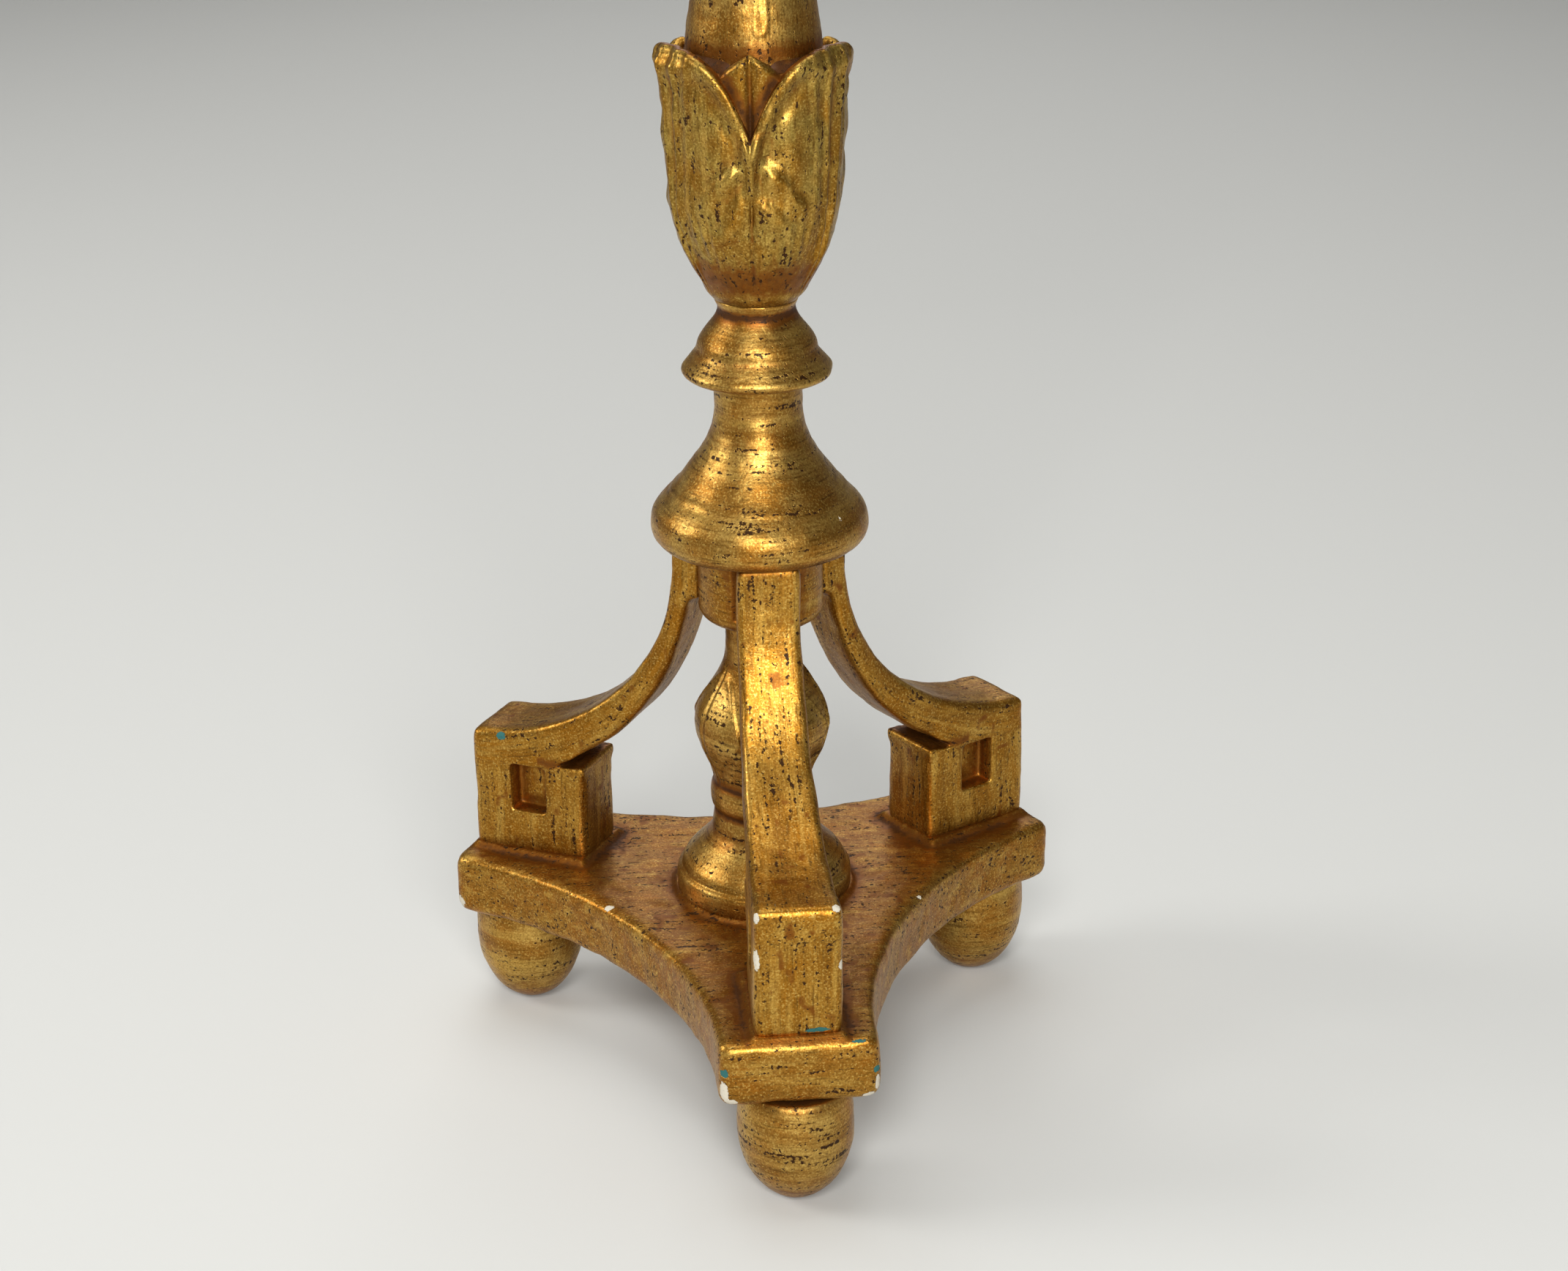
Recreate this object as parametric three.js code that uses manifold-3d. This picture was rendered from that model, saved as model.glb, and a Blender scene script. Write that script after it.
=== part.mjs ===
// A torchere candle stand: a turned giltwood column with carved leaf cups, on a hollow-sided
// triangular plinth with three egg feet and three scrolled legs, under a drip pan and pricket.
//
// Millimetres, +Z up. The origin is on the column's axis at floor level, and the front leg
// points along -Y. Turned pieces stack on glued spigots. Legs are screwed from below and pegged
// to the hub at the top.

import * as THREE from 'three';
import { mergeVertices } from 'three/addons/utils/BufferGeometryUtils.js';
import Module from 'manifold-3d';

const wasm = await Module();
wasm.setup();

// ---------------------------------------------------------------- driving dimensions

const FIT = 0.3;                     // glue and clearance gap round every spigot, peg and screw
const SPIGOT_RADIUS = 9.5;
const SPIGOT_LENGTH = 17;
const LEG_SPACING = (2 * Math.PI) / 3;

// Feet
const FOOT_HEIGHT = 56;              // floor to the underside of the plinth
const FOOT_RADIUS = 26.2;
const FOOT_WIDEST_HEIGHT = 36;
const FOOT_SEAT_RADIUS = 22.5;       // drawn in under the plinth
const FOOT_FLAT_RADIUS = 6;
const FOOT_RADIAL = 128;
const FOOT_TENON_RADIUS = 8;
const FOOT_TENON_LENGTH = 18;

// Plinth
const PLINTH_THICKNESS = 31.3;
const CORNER_RADIAL = 150;           // axis to each short corner face
const CORNER_HALF_WIDTH = 35.5;
const SIDE_RADIAL = 74.7;            // axis to the middle of each hollow side
const CORNER_ROUND = 9;
const PLINTH_TOP_ROUND = 3;
const PLINTH_BOTTOM_ROUND = 5;

// Scrolled legs, drawn in the plane through the axis
const LEG_FACE_RADIAL = 145;         // axis to the outer face of the foot block
const LEG_BLOCK_INNER_RADIAL = 86.5;
const LEG_BLOCK_HEIGHT = 62.5;
const LEG_KEY_HEIGHT = 49.5;         // the turned-in end of the scroll
const LEG_GAP_END_RADIAL = 107;      // where the gap over the scroll closes
const LEG_BLOCK_HALF_WIDTH = 19.7;
const LEG_TOP_HALF_WIDTH = 14.5;
const LEG_TOP_RADIAL = 39;           // axis to the leg's back, where it stands against the hub
const LEG_TOP_THICKNESS = 9.6;
const LEG_STRAP_THICKNESS = 22.5;    // where the strap leaves the block
const LEG_TOP_STRAIGHT = 12.2;
const POCKET_WIDTH = 17.5;           // the sunk square in the middle of the scroll
const POCKET_HEIGHT = 24;
const POCKET_BOTTOM = 22;
const POCKET_DEPTH = 9;

const LEG_SCREW_RADIAL = 96;
const SCREW_SHANK_RADIUS = 2.75;
const SCREW_HEAD_RADIUS = 5.5;
const SCREW_HEAD_HEIGHT = 3.6;
const SCREW_GRIP = 30;               // length inside the leg
const SCREW_TIP = 6;
const SCREW_TIP_RADIUS = 0.5;
const SLOT_WIDTH = 1.4;
const SLOT_DEPTH = 1.5;

// Hub that the legs lean on
const HUB_RADIUS = 28.5;
const HUB_HEIGHT = 37.5;
const HUB_ROUND = 7;
const HUB_SEAT_RADIAL = 24;          // flats cut for the legs
const HUB_SEAT_HEIGHT = 31;          // of each flat, down from the top
const PEG_RADIUS = 4;
const PEG_REACH = 8.5;               // into the hub, and as far into the leg
const PEG_DROP = 14;                 // below the top of the hub

// Baluster between plinth and hub
const BALUSTER_FOOT_RADIUS = 41;
const BALUSTER_FOOT_HEIGHT = 11;
const BALUSTER_FOOT_ROUND = 2.5;
const BALUSTER_CONE_HEIGHT = 23;
const BALUSTER_CONE_RADIUS = 23.6;
const BALUSTER_FILLET_HEIGHT = 8;
const BALUSTER_BEAD_RADIUS = 24.5;
const BALUSTER_BEAD_HEIGHT = 13;
const BALUSTER_WAIST_RADIUS = 22.6;
const BULB_RADIUS = 30.7;
const BULB_RISE = 30;
const BULB_SHOULDER = 36;
const BALUSTER_NECK_RADIUS = 16.2;
const BALUSTER_NECK_HEIGHT = 16.2;

// Bell over the hub
const BELL_SEAT_RADIUS = 42;
const BELL_RADIUS = 49.2;
const BELL_UNDERSIDE_HEIGHT = 8.5;   // seat to the widest ring
const BELL_SHOULDER_HEIGHT = 12.5;   // widest ring to the collar
const BELL_COLLAR_RADIUS = 40.5;
const BELL_COLLAR_INSET = 1;
const BELL_COLLAR_HEIGHT = 12;
const BELL_SLOPE_RADIUS = 34;
const BELL_SLOPE_HEIGHT = 25;
const BELL_NECK_RADIUS = 19.6;
const BELL_NECK_HEIGHT = 18.5;

// Knop
const KNOP_SEAT_RADIUS = 22.6;
const KNOP_RADIUS = 33.4;
const KNOP_UNDERSIDE_HEIGHT = 3.7;
const KNOP_ROUND_HEIGHT = 9.4;       // widest ring to the quirk
const KNOP_STEP_RADIUS = 27;
const KNOP_QUIRK = 1;
const KNOP_SHOULDER_RADIUS = 20.5;
const KNOP_SHOULDER_HEIGHT = 11.2;
const KNOP_WAIST_RADIUS = 17.6;
const KNOP_WAIST_HEIGHT = 8;
const KNOP_BEAD_RADIUS = 18.8;
const KNOP_BEAD_HEIGHT = 4.5;

// Leaf cup at the foot of the column
const LEAF_TURN = -8.1 * Math.PI / 180 + Math.PI / 6;   // a narrow leaf 8 degrees off the front
const CALYX = {
  baseRadius: 18.4, bellyRadius: 37.2, bellyHeight: 46, lipRadius: 42.4,
  tipHeight: 112.7, valleyHeight: 77.3, floorHeight: 104, wall: 4.6,
  innerTipDrop: 0, innerWall: 4.6, innerSpread: 30,
  swell: 2.2, midrib: 1.3, flute: 0.7,
  columns: 22, rows: 9,              // facets across and up one broad leaf
};

// Column
const COLUMN_FOOT_RADIUS = 29.2;
const COLUMN_LOW_RADIUS = 24.8;
const COLUMN_FLARE_HEIGHT = 41;
const COLUMN_TOP_RADIUS = 19;
const COLUMN_HEIGHT = 383;

const RING_RADIUS = 25;
const RING_HEIGHT = 12;
const RING_FILLET = 3;
const RING_SEAT_RADIUS = 20.5;

// Leaf cup at the head of the column
const CAPITAL = {
  baseRadius: 15.5, bellyRadius: 28, bellyHeight: 34, lipRadius: 33.5,
  tipHeight: 74, valleyHeight: 50, floorHeight: 60, wall: 4,
  innerTipDrop: 1, innerWall: 4, innerSpread: 30,
  swell: 1.8, midrib: 1, flute: 0.5,
  columns: 16, rows: 7,
};

// Drip pan
const PAN_STEM_RADIUS = 20;
const PAN_STEM_HEIGHT = 17;
const PAN_NECK_RADIUS = 18;
const PAN_BOWL_RADIUS = 60;
const PAN_BOWL_HEIGHT = 15;
const PAN_LIP_RADIUS = 64;
const PAN_LIP_HEIGHT = 6;
const PAN_WALL = 5;
const PAN_DISH_DEPTH = 11;
const PAN_DISH_ROUND = 9;

// Pricket
const PLATE_RADIUS = 18;
const PLATE_THICKNESS = 2;
const SPIKE_RADIUS = 4.6;
const SPIKE_COLLAR_RADIUS = 7;
const SPIKE_COLLAR_HEIGHT = 3;       // above the plate
const SPIKE_HEIGHT = 62;             // above the plate
const SPIKE_TIP_RADIUS = 0.5;
const SPIKE_SHANK_RADIUS = 3;
const SPIKE_SHANK_LENGTH = 16;

// Facets
const CURVE_STEPS = 3;               // to a quarter turn of a moulding
const LATHE_SIDES = 28;

// ---------------------------------------------------------------- levels worked out from them

const PLINTH_TOP = FOOT_HEIGHT + PLINTH_THICKNESS;
const BALUSTER_HEIGHT = BALUSTER_FOOT_HEIGHT + BALUSTER_CONE_HEIGHT + BALUSTER_FILLET_HEIGHT
  + BALUSTER_BEAD_HEIGHT + BULB_RISE + BULB_SHOULDER + BALUSTER_NECK_HEIGHT;
const HUB_BASE = PLINTH_TOP + BALUSTER_HEIGHT;
const BELL_BASE = HUB_BASE + HUB_HEIGHT;
const BELL_HEIGHT = BELL_UNDERSIDE_HEIGHT + BELL_SHOULDER_HEIGHT + BELL_COLLAR_HEIGHT
  + BELL_SLOPE_HEIGHT + BELL_NECK_HEIGHT;
const KNOP_BASE = BELL_BASE + BELL_HEIGHT;
const KNOP_HEIGHT = KNOP_UNDERSIDE_HEIGHT + KNOP_ROUND_HEIGHT + KNOP_SHOULDER_HEIGHT
  + KNOP_WAIST_HEIGHT + KNOP_BEAD_HEIGHT;
const CALYX_BASE = KNOP_BASE + KNOP_HEIGHT;
const COLUMN_BASE = CALYX_BASE + CALYX.floorHeight;
const RING_BASE = COLUMN_BASE + COLUMN_HEIGHT;
const CAPITAL_BASE = RING_BASE + RING_HEIGHT;
const PAN_BASE = CAPITAL_BASE + CAPITAL.floorHeight;
const PAN_HEIGHT = PAN_STEM_HEIGHT + PAN_BOWL_HEIGHT + PAN_LIP_HEIGHT;
const DISH_FLOOR = PAN_HEIGHT - PAN_DISH_DEPTH;
const LEG_RISE = BELL_BASE - PLINTH_TOP;

// ---------------------------------------------------------------- solids from three.js geometry

function solid(geometry) {
  const bare = geometry.clone();
  bare.deleteAttribute('normal');
  bare.deleteAttribute('uv');
  const merged = mergeVertices(bare, 1e-4);
  const index = merged.index.array;
  const corners = [];
  for (let i = 0; i < index.length; i += 3) {
    const [a, b, c] = [index[i], index[i + 1], index[i + 2]];
    if (a !== b && b !== c && c !== a) corners.push(a, b, c);
  }
  const vertProperties = new Float32Array(merged.attributes.position.array);
  const triVerts = new Uint32Array(corners);
  return new wasm.Manifold(new wasm.Mesh({ numProp: 3, vertProperties, triVerts }));
}

function named(name, body, material) {
  const { vertProperties, triVerts } = body.getMesh();
  const geometry = new THREE.BufferGeometry();
  geometry.setAttribute('position', new THREE.BufferAttribute(vertProperties, 3));
  geometry.setIndex(new THREE.BufferAttribute(triVerts, 1));
  geometry.computeVertexNormals();
  const mesh = new THREE.Mesh(geometry, material);
  mesh.name = name;
  return mesh;
}

// An outline as plain points, where each curve starts exactly where the last one ends.
function faceted(outline, divisions) {
  const points = outline.getPoints(divisions);
  const apart = (point, i) => point.distanceTo(points.at(i - 1)) > 1e-6;
  return new THREE.Shape(points.filter(apart));
}

function lathe(points, sides = LATHE_SIDES) {
  return solid(new THREE.LatheGeometry(points, sides).rotateX(Math.PI / 2));
}

function rod(radius, bottom, top, sides = 24) {
  const height = top - bottom;
  const geometry = new THREE.CylinderGeometry(radius, radius, height, sides);
  return solid(geometry.rotateX(Math.PI / 2).translate(0, 0, bottom + height / 2));
}

// ---------------------------------------------------------------- turned work

// A turned profile, drawn from its foot upwards in the mouldings a turner would name. It starts
// on a spigot below its seat, round a socket above it, or plain.
class Turning {
  constructor(radius) {
    this.points = [];
    this.add(0, 0).add(radius, 0);
  }

  static onSpigot(radius, spigot = SPIGOT_RADIUS, length = SPIGOT_LENGTH) {
    const turning = new Turning(radius);
    turning.points.splice(0, 1, new THREE.Vector2(0, -length),
      new THREE.Vector2(spigot, -length), new THREE.Vector2(spigot, 0));
    return turning;
  }

  static onSocket(radius, socket = SPIGOT_RADIUS + FIT, depth = SPIGOT_LENGTH + FIT) {
    const turning = new Turning(radius);
    turning.points.splice(0, 1, new THREE.Vector2(0, depth),
      new THREE.Vector2(socket, depth), new THREE.Vector2(socket, 0));
    return turning;
  }

  add(radius, height) {
    this.points.push(new THREE.Vector2(radius, height));
    return this;
  }

  // Follows radius and height fractions from the last point, both running from 0 to 1.
  sweep(radius, rise, across, up, steps = CURVE_STEPS) {
    const { x, y } = this.points.at(-1);
    for (let i = 1; i <= steps; i++) {
      const t = i / steps;
      this.add(x + (radius - x) * across(t), y + rise * up(t));
    }
    return this;
  }

  line(radius, rise) {
    const { y } = this.points.at(-1);
    return this.add(radius, y + rise);
  }

  step(radius) {
    return this.line(radius, 0);
  }

  ogee(radius, rise) {
    const across = (t) => (1 - Math.cos(Math.PI * t)) / 2;
    return this.sweep(radius, rise, across, (t) => t, 2 * CURVE_STEPS - 1);
  }

  // A quarter round, swelling outwards.
  ovolo(radius, rise) {
    const rising = (t) => Math.sin(t * Math.PI / 2);
    const falling = (t) => 1 - Math.cos(t * Math.PI / 2);
    const growing = radius > this.points.at(-1).x;
    return this.sweep(radius, rise, growing ? rising : falling, growing ? falling : rising);
  }

  // A quarter hollow.
  cove(radius, rise) {
    const rising = (t) => Math.sin(t * Math.PI / 2);
    const falling = (t) => 1 - Math.cos(t * Math.PI / 2);
    const growing = radius > this.points.at(-1).x;
    return this.sweep(radius, rise, growing ? falling : rising, growing ? rising : falling);
  }

  torus(radius, rise, end) {
    return this.ovolo(radius, rise / 2).ovolo(end, rise / 2);
  }

  endFlat() {
    return this.step(0).points;
  }

  endInSpigot(spigot = SPIGOT_RADIUS, length = SPIGOT_LENGTH) {
    return this.step(spigot).line(spigot, length).step(0).points;
  }

  endInSocket(socket = SPIGOT_RADIUS + FIT, depth = SPIGOT_LENGTH + FIT) {
    return this.step(socket).line(socket, -depth).step(0).points;
  }

  // A ring: the bore runs back down to the seat, where the profile closes on itself.
  endThroughBore(bore) {
    const ring = this.step(bore).add(bore, 0).points.slice(1);
    return [...ring, ring[0]];
  }
}

function footProfile() {
  const start = Math.asin(FOOT_FLAT_RADIUS / FOOT_RADIUS);
  const drop = FOOT_WIDEST_HEIGHT / Math.cos(start);
  const foot = new Turning(FOOT_FLAT_RADIUS);
  const steps = 2 * CURVE_STEPS;
  for (let i = 1; i <= steps; i++) {
    const turn = start + (Math.PI / 2 - start) * (i / steps);
    foot.add(FOOT_RADIUS * Math.sin(turn), FOOT_WIDEST_HEIGHT - drop * Math.cos(turn));
  }
  return foot.ovolo(FOOT_SEAT_RADIUS, FOOT_HEIGHT - FOOT_WIDEST_HEIGHT)
    .endInSpigot(FOOT_TENON_RADIUS, FOOT_TENON_LENGTH);
}

function balusterProfile() {
  const discSide = BALUSTER_FOOT_HEIGHT - BALUSTER_FOOT_ROUND;
  return Turning.onSpigot(BALUSTER_FOOT_RADIUS)
    .line(BALUSTER_FOOT_RADIUS, discSide)
    .ovolo(BALUSTER_FOOT_RADIUS - BALUSTER_FOOT_ROUND, BALUSTER_FOOT_ROUND)
    .ogee(BALUSTER_CONE_RADIUS, BALUSTER_CONE_HEIGHT)
    .line(BALUSTER_WAIST_RADIUS, BALUSTER_FILLET_HEIGHT)
    .torus(BALUSTER_BEAD_RADIUS, BALUSTER_BEAD_HEIGHT, BALUSTER_WAIST_RADIUS)
    .ogee(BULB_RADIUS, BULB_RISE)
    .ogee(BALUSTER_NECK_RADIUS, BULB_SHOULDER)
    .line(BALUSTER_NECK_RADIUS, BALUSTER_NECK_HEIGHT)
    .endInSpigot();
}

function hubProfile() {
  return Turning.onSocket(HUB_RADIUS - HUB_ROUND)
    .ovolo(HUB_RADIUS, HUB_ROUND)
    .line(HUB_RADIUS, HUB_HEIGHT - HUB_ROUND)
    .endInSocket();
}

function bellProfile() {
  return Turning.onSpigot(BELL_SEAT_RADIUS)
    .ovolo(BELL_RADIUS, BELL_UNDERSIDE_HEIGHT)
    .ovolo(BELL_COLLAR_RADIUS, BELL_SHOULDER_HEIGHT)
    .step(BELL_COLLAR_RADIUS - BELL_COLLAR_INSET)
    .ovolo(BELL_SLOPE_RADIUS, BELL_COLLAR_HEIGHT)
    .ogee(BELL_NECK_RADIUS, BELL_SLOPE_HEIGHT)
    .line(BELL_NECK_RADIUS, BELL_NECK_HEIGHT)
    .endInSocket();
}

function knopProfile() {
  return Turning.onSpigot(KNOP_SEAT_RADIUS)
    .ovolo(KNOP_RADIUS, KNOP_UNDERSIDE_HEIGHT)
    .ovolo(KNOP_STEP_RADIUS, KNOP_ROUND_HEIGHT)
    .step(KNOP_STEP_RADIUS - KNOP_QUIRK)
    .ovolo(KNOP_SHOULDER_RADIUS, KNOP_SHOULDER_HEIGHT)
    .cove(KNOP_WAIST_RADIUS, KNOP_WAIST_HEIGHT)
    .torus(KNOP_BEAD_RADIUS, KNOP_BEAD_HEIGHT, KNOP_WAIST_RADIUS)
    .endInSocket();
}

function columnProfile() {
  const shaft = COLUMN_HEIGHT - COLUMN_FLARE_HEIGHT;
  return Turning.onSpigot(COLUMN_FOOT_RADIUS)
    .ogee(COLUMN_LOW_RADIUS, COLUMN_FLARE_HEIGHT)
    .line(COLUMN_TOP_RADIUS, shaft)
    .endInSpigot(SPIGOT_RADIUS, RING_HEIGHT + SPIGOT_LENGTH);
}

function ringProfile() {
  return new Turning(RING_SEAT_RADIUS)
    .line(RING_SEAT_RADIUS, RING_FILLET)
    .torus(RING_RADIUS, RING_HEIGHT - 2 * RING_FILLET, RING_SEAT_RADIUS)
    .line(RING_SEAT_RADIUS, RING_FILLET)
    .endThroughBore(SPIGOT_RADIUS + FIT);
}

function panProfile() {
  const dish = PAN_BOWL_RADIUS - PAN_WALL;
  const pan = Turning.onSpigot(PAN_STEM_RADIUS)
    .ovolo(PAN_NECK_RADIUS, PAN_STEM_HEIGHT)
    .ovolo(PAN_BOWL_RADIUS, PAN_BOWL_HEIGHT)
    .ovolo(PAN_LIP_RADIUS, PAN_LIP_HEIGHT);
  pan.step(dish).ovolo(dish - PAN_DISH_ROUND, -PAN_DISH_DEPTH);
  return pan.endInSocket(SPIKE_SHANK_RADIUS + FIT, SPIKE_SHANK_LENGTH + FIT);
}

// The collar stands on the dish and rises through the loose plate.
function spikeProfile() {
  return Turning.onSpigot(SPIKE_COLLAR_RADIUS, SPIKE_SHANK_RADIUS, SPIKE_SHANK_LENGTH)
    .line(SPIKE_COLLAR_RADIUS, PLATE_THICKNESS)
    .ovolo(SPIKE_RADIUS, SPIKE_COLLAR_HEIGHT)
    .line(SPIKE_TIP_RADIUS, SPIKE_HEIGHT - SPIKE_COLLAR_HEIGHT)
    .endFlat();
}

function plateProfile() {
  return new Turning(PLATE_RADIUS)
    .line(PLATE_RADIUS, PLATE_THICKNESS)
    .endThroughBore(SPIKE_COLLAR_RADIUS + FIT);
}

function screwProfile(clearance = 0) {
  const shank = SCREW_SHANK_RADIUS + clearance;
  const length = PLINTH_THICKNESS + SCREW_GRIP + clearance;
  return new Turning(SCREW_HEAD_RADIUS + clearance)
    .line(SCREW_HEAD_RADIUS + clearance, 1)
    .line(shank, SCREW_HEAD_HEIGHT - 1)
    .line(shank, length - SCREW_HEAD_HEIGHT - SCREW_TIP)
    .line(SCREW_TIP_RADIUS, SCREW_TIP)
    .endFlat();
}

// ---------------------------------------------------------------- carved leaf cups

// Three broad leaves round the outside, with three narrow ones standing behind the valleys
// between them. Each ring of leaves is one skin: up the outside, over the rim and down inside.

// Share of the way round one leaf: 0 on its midrib, 1 in the valley beside it.
function acrossLeaf(angle, turn) {
  const leaf = (angle - turn) / LEG_SPACING;
  return 2 * Math.abs(leaf - Math.round(leaf));
}

function cupRadius(cup, height) {
  const low = Math.min(height / cup.bellyHeight, 1);
  const high = Math.max(height - cup.bellyHeight, 0) / (cup.tipHeight - cup.bellyHeight);
  return cup.baseRadius + (cup.bellyRadius - cup.baseRadius) * Math.sin(low * Math.PI / 2)
    + (cup.lipRadius - cup.bellyRadius) * high;
}

function leafRelief(cup, across, height) {
  const grown = Math.min(height / cup.bellyHeight, 1);
  const seam = -cup.swell * across ** 4;
  const rib = cup.midrib * Math.exp(-((across / 0.09) ** 2));
  const flutes = cup.flute * Math.cos(6 * Math.PI * across);
  return grown * (seam + rib + flutes);
}

function leafRing(cup, rows) {
  const around = 3 * cup.columns;
  const positions = [];
  const indices = [];
  rows.forEach((row, r) => {
    for (let c = 0; c < around; c++) {
      const angle = (2 * Math.PI * c) / around;
      const [radius, height] = row(angle);
      positions.push(radius * Math.cos(angle), radius * Math.sin(angle), height);
      if (r === 0) continue;
      const [a, b] = [r * around + c, r * around + (c + 1) % around];
      indices.push(a - around, b - around, b, a - around, b, a);
    }
  });
  const centre = positions.length / 3;
  const last = (rows.length - 1) * around;
  positions.push(0, 0, rows[0](0)[1], 0, 0, rows.at(-1)(0)[1]);
  for (let c = 0; c < around; c++) {
    const next = (c + 1) % around;
    indices.push(centre, next, c, centre + 1, last + c, last + next);
  }
  const geometry = new THREE.BufferGeometry();
  geometry.setAttribute('position', new THREE.Float32BufferAttribute(positions, 3));
  geometry.setIndex(indices);
  return solid(geometry);
}

function broadLeaves(cup) {
  const steps = cup.rows;
  const rim = (across) => cup.valleyHeight
    + (cup.tipHeight - cup.valleyHeight) * (1 - across ** 3.4);
  const rows = [];
  for (let i = 0; i <= steps; i++) {
    rows.push((angle) => {
      const across = acrossLeaf(angle, 0);
      const height = rim(across) * (i / steps);
      return [cupRadius(cup, height) + leafRelief(cup, across, height), height];
    });
  }
  rows.push((angle) => {
    const height = rim(acrossLeaf(angle, 0));
    return [cupRadius(cup, height) - cup.wall, height];
  });
  rows.push(() => [cupRadius(cup, cup.floorHeight) - 1.5 * cup.wall, cup.floorHeight]);
  return leafRing(cup, rows);
}

function narrowLeaves(cup, guestRadius, steps = 3) {
  const turn = LEG_SPACING / 2;
  const spread = cup.innerSpread * Math.PI / 180 / (LEG_SPACING / 2);
  const rim = (across) => cup.floorHeight
    + (cup.tipHeight - cup.innerTipDrop - cup.floorHeight)
      * Math.max(0.02, 1 - (across / spread) ** 1.4);
  const outer = (across, height) => cupRadius(cup, height) - cup.wall + FIT
    + cup.midrib * Math.exp(-((across / 0.07) ** 2));
  const rows = [];
  for (let i = 0; i <= steps; i++) {
    rows.push((angle) => {
      const across = acrossLeaf(angle, turn);
      const foot = cup.valleyHeight - cup.wall;
      const height = foot + (rim(across) - foot) * (i / steps);
      return [outer(across, height), height];
    });
  }
  rows.push((angle) => {
    const height = rim(acrossLeaf(angle, turn));
    return [cupRadius(cup, height) - cup.wall - cup.innerWall, height];
  });
  rows.push(() => [guestRadius + 2 * FIT, cup.floorHeight]);
  return leafRing(cup, rows);
}

// The finished cup, with a socket in its floor for the piece that stands in it.
function leafCup(cup, guestRadius) {
  const socket = rod(SPIGOT_RADIUS + FIT, cup.floorHeight - SPIGOT_LENGTH - FIT, cup.tipHeight);
  return broadLeaves(cup).add(narrowLeaves(cup, guestRadius)).subtract(socket);
}

function calyx() {
  return leafCup(CALYX, COLUMN_FOOT_RADIUS).add(rod(SPIGOT_RADIUS, -SPIGOT_LENGTH, 1));
}

function capital() {
  const socket = rod(SPIGOT_RADIUS + FIT, -1, SPIGOT_LENGTH + FIT);
  return leafCup(CAPITAL, PAN_STEM_RADIUS).subtract(socket);
}

// ---------------------------------------------------------------- plinth

function polar(radius, angle) {
  return new THREE.Vector2(radius * Math.cos(angle), radius * Math.sin(angle));
}

// One corner of the plinth: the two ends of its short face, and where their rounding starts.
function plinthCorner(i) {
  const facing = -Math.PI / 2 + (i % 3) * LEG_SPACING;
  const reach = Math.hypot(CORNER_RADIAL, CORNER_HALF_WIDTH);
  const half = Math.atan2(CORNER_HALF_WIDTH, CORNER_RADIAL);
  const before = polar(reach, facing - half);
  const after = polar(reach, facing + half);
  const inset = after.clone().sub(before).setLength(CORNER_ROUND);
  return { before, after, start: before.clone().add(inset), end: after.clone().sub(inset) };
}

// Three short corner faces joined by three hollow arcs.
function plinthOutline() {
  const outline = new THREE.Shape();
  for (let i = 0; i < 3; i++) {
    const here = plinthCorner(i);
    const next = plinthCorner(i + 1);
    const middle = here.after.clone().add(next.before).divideScalar(2);
    const chord = here.after.distanceTo(next.before) / 2;
    const sag = middle.length() - SIDE_RADIAL;
    const bend = (chord * chord + sag * sag) / (2 * sag);
    const centre = middle.clone().setLength(SIDE_RADIAL + bend);
    const inward = middle.angle() + Math.PI;
    const half = Math.asin(chord / bend) - CORNER_ROUND / bend;
    const arcStart = centre.clone().add(polar(bend, inward + half));
    if (i === 0) outline.moveTo(here.start.x, here.start.y);
    outline.lineTo(here.end.x, here.end.y);
    outline.quadraticCurveTo(here.after.x, here.after.y, arcStart.x, arcStart.y);
    outline.absarc(centre.x, centre.y, bend, inward + half, inward - half, true);
    outline.quadraticCurveTo(next.before.x, next.before.y, next.start.x, next.start.y);
  }
  return outline;
}

// A slab with its edges rounded, reaching from one level to another.
function roundedSlab(outline, bottom, top, round) {
  const geometry = new THREE.ExtrudeGeometry(outline, {
    depth: top - bottom - 2 * round,
    bevelThickness: round, bevelSize: round, bevelOffset: -round, bevelSegments: 2,
  });
  return solid(geometry.translate(0, 0, bottom + round));
}

function plinth() {
  const outline = faceted(plinthOutline(), 4);
  const upper = roundedSlab(outline, -PLINTH_THICKNESS, PLINTH_THICKNESS, PLINTH_TOP_ROUND);
  const lower = roundedSlab(outline, 0, 2 * PLINTH_THICKNESS, PLINTH_BOTTOM_ROUND);
  let body = upper.intersect(lower);
  const socket = PLINTH_THICKNESS - SPIGOT_LENGTH - FIT;
  body = body.subtract(rod(SPIGOT_RADIUS + FIT, socket, PLINTH_THICKNESS + 1));
  for (let i = 0; i < 3; i++) {
    const facing = i * 120;
    const tenon = rod(FOOT_TENON_RADIUS + FIT, -1, FOOT_TENON_LENGTH + FIT)
      .translate([0, -FOOT_RADIAL, 0]).rotate([0, 0, facing]);
    body = body.subtract(tenon).subtract(screwHole().rotate([0, 0, facing]));
  }
  return body;
}

function screwHole() {
  return lathe(screwProfile(FIT), 12).add(rod(SCREW_HEAD_RADIUS + FIT, -1, 0.5, 12))
    .translate([0, -LEG_SCREW_RADIAL, 0]);
}

// ---------------------------------------------------------------- legs

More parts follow.
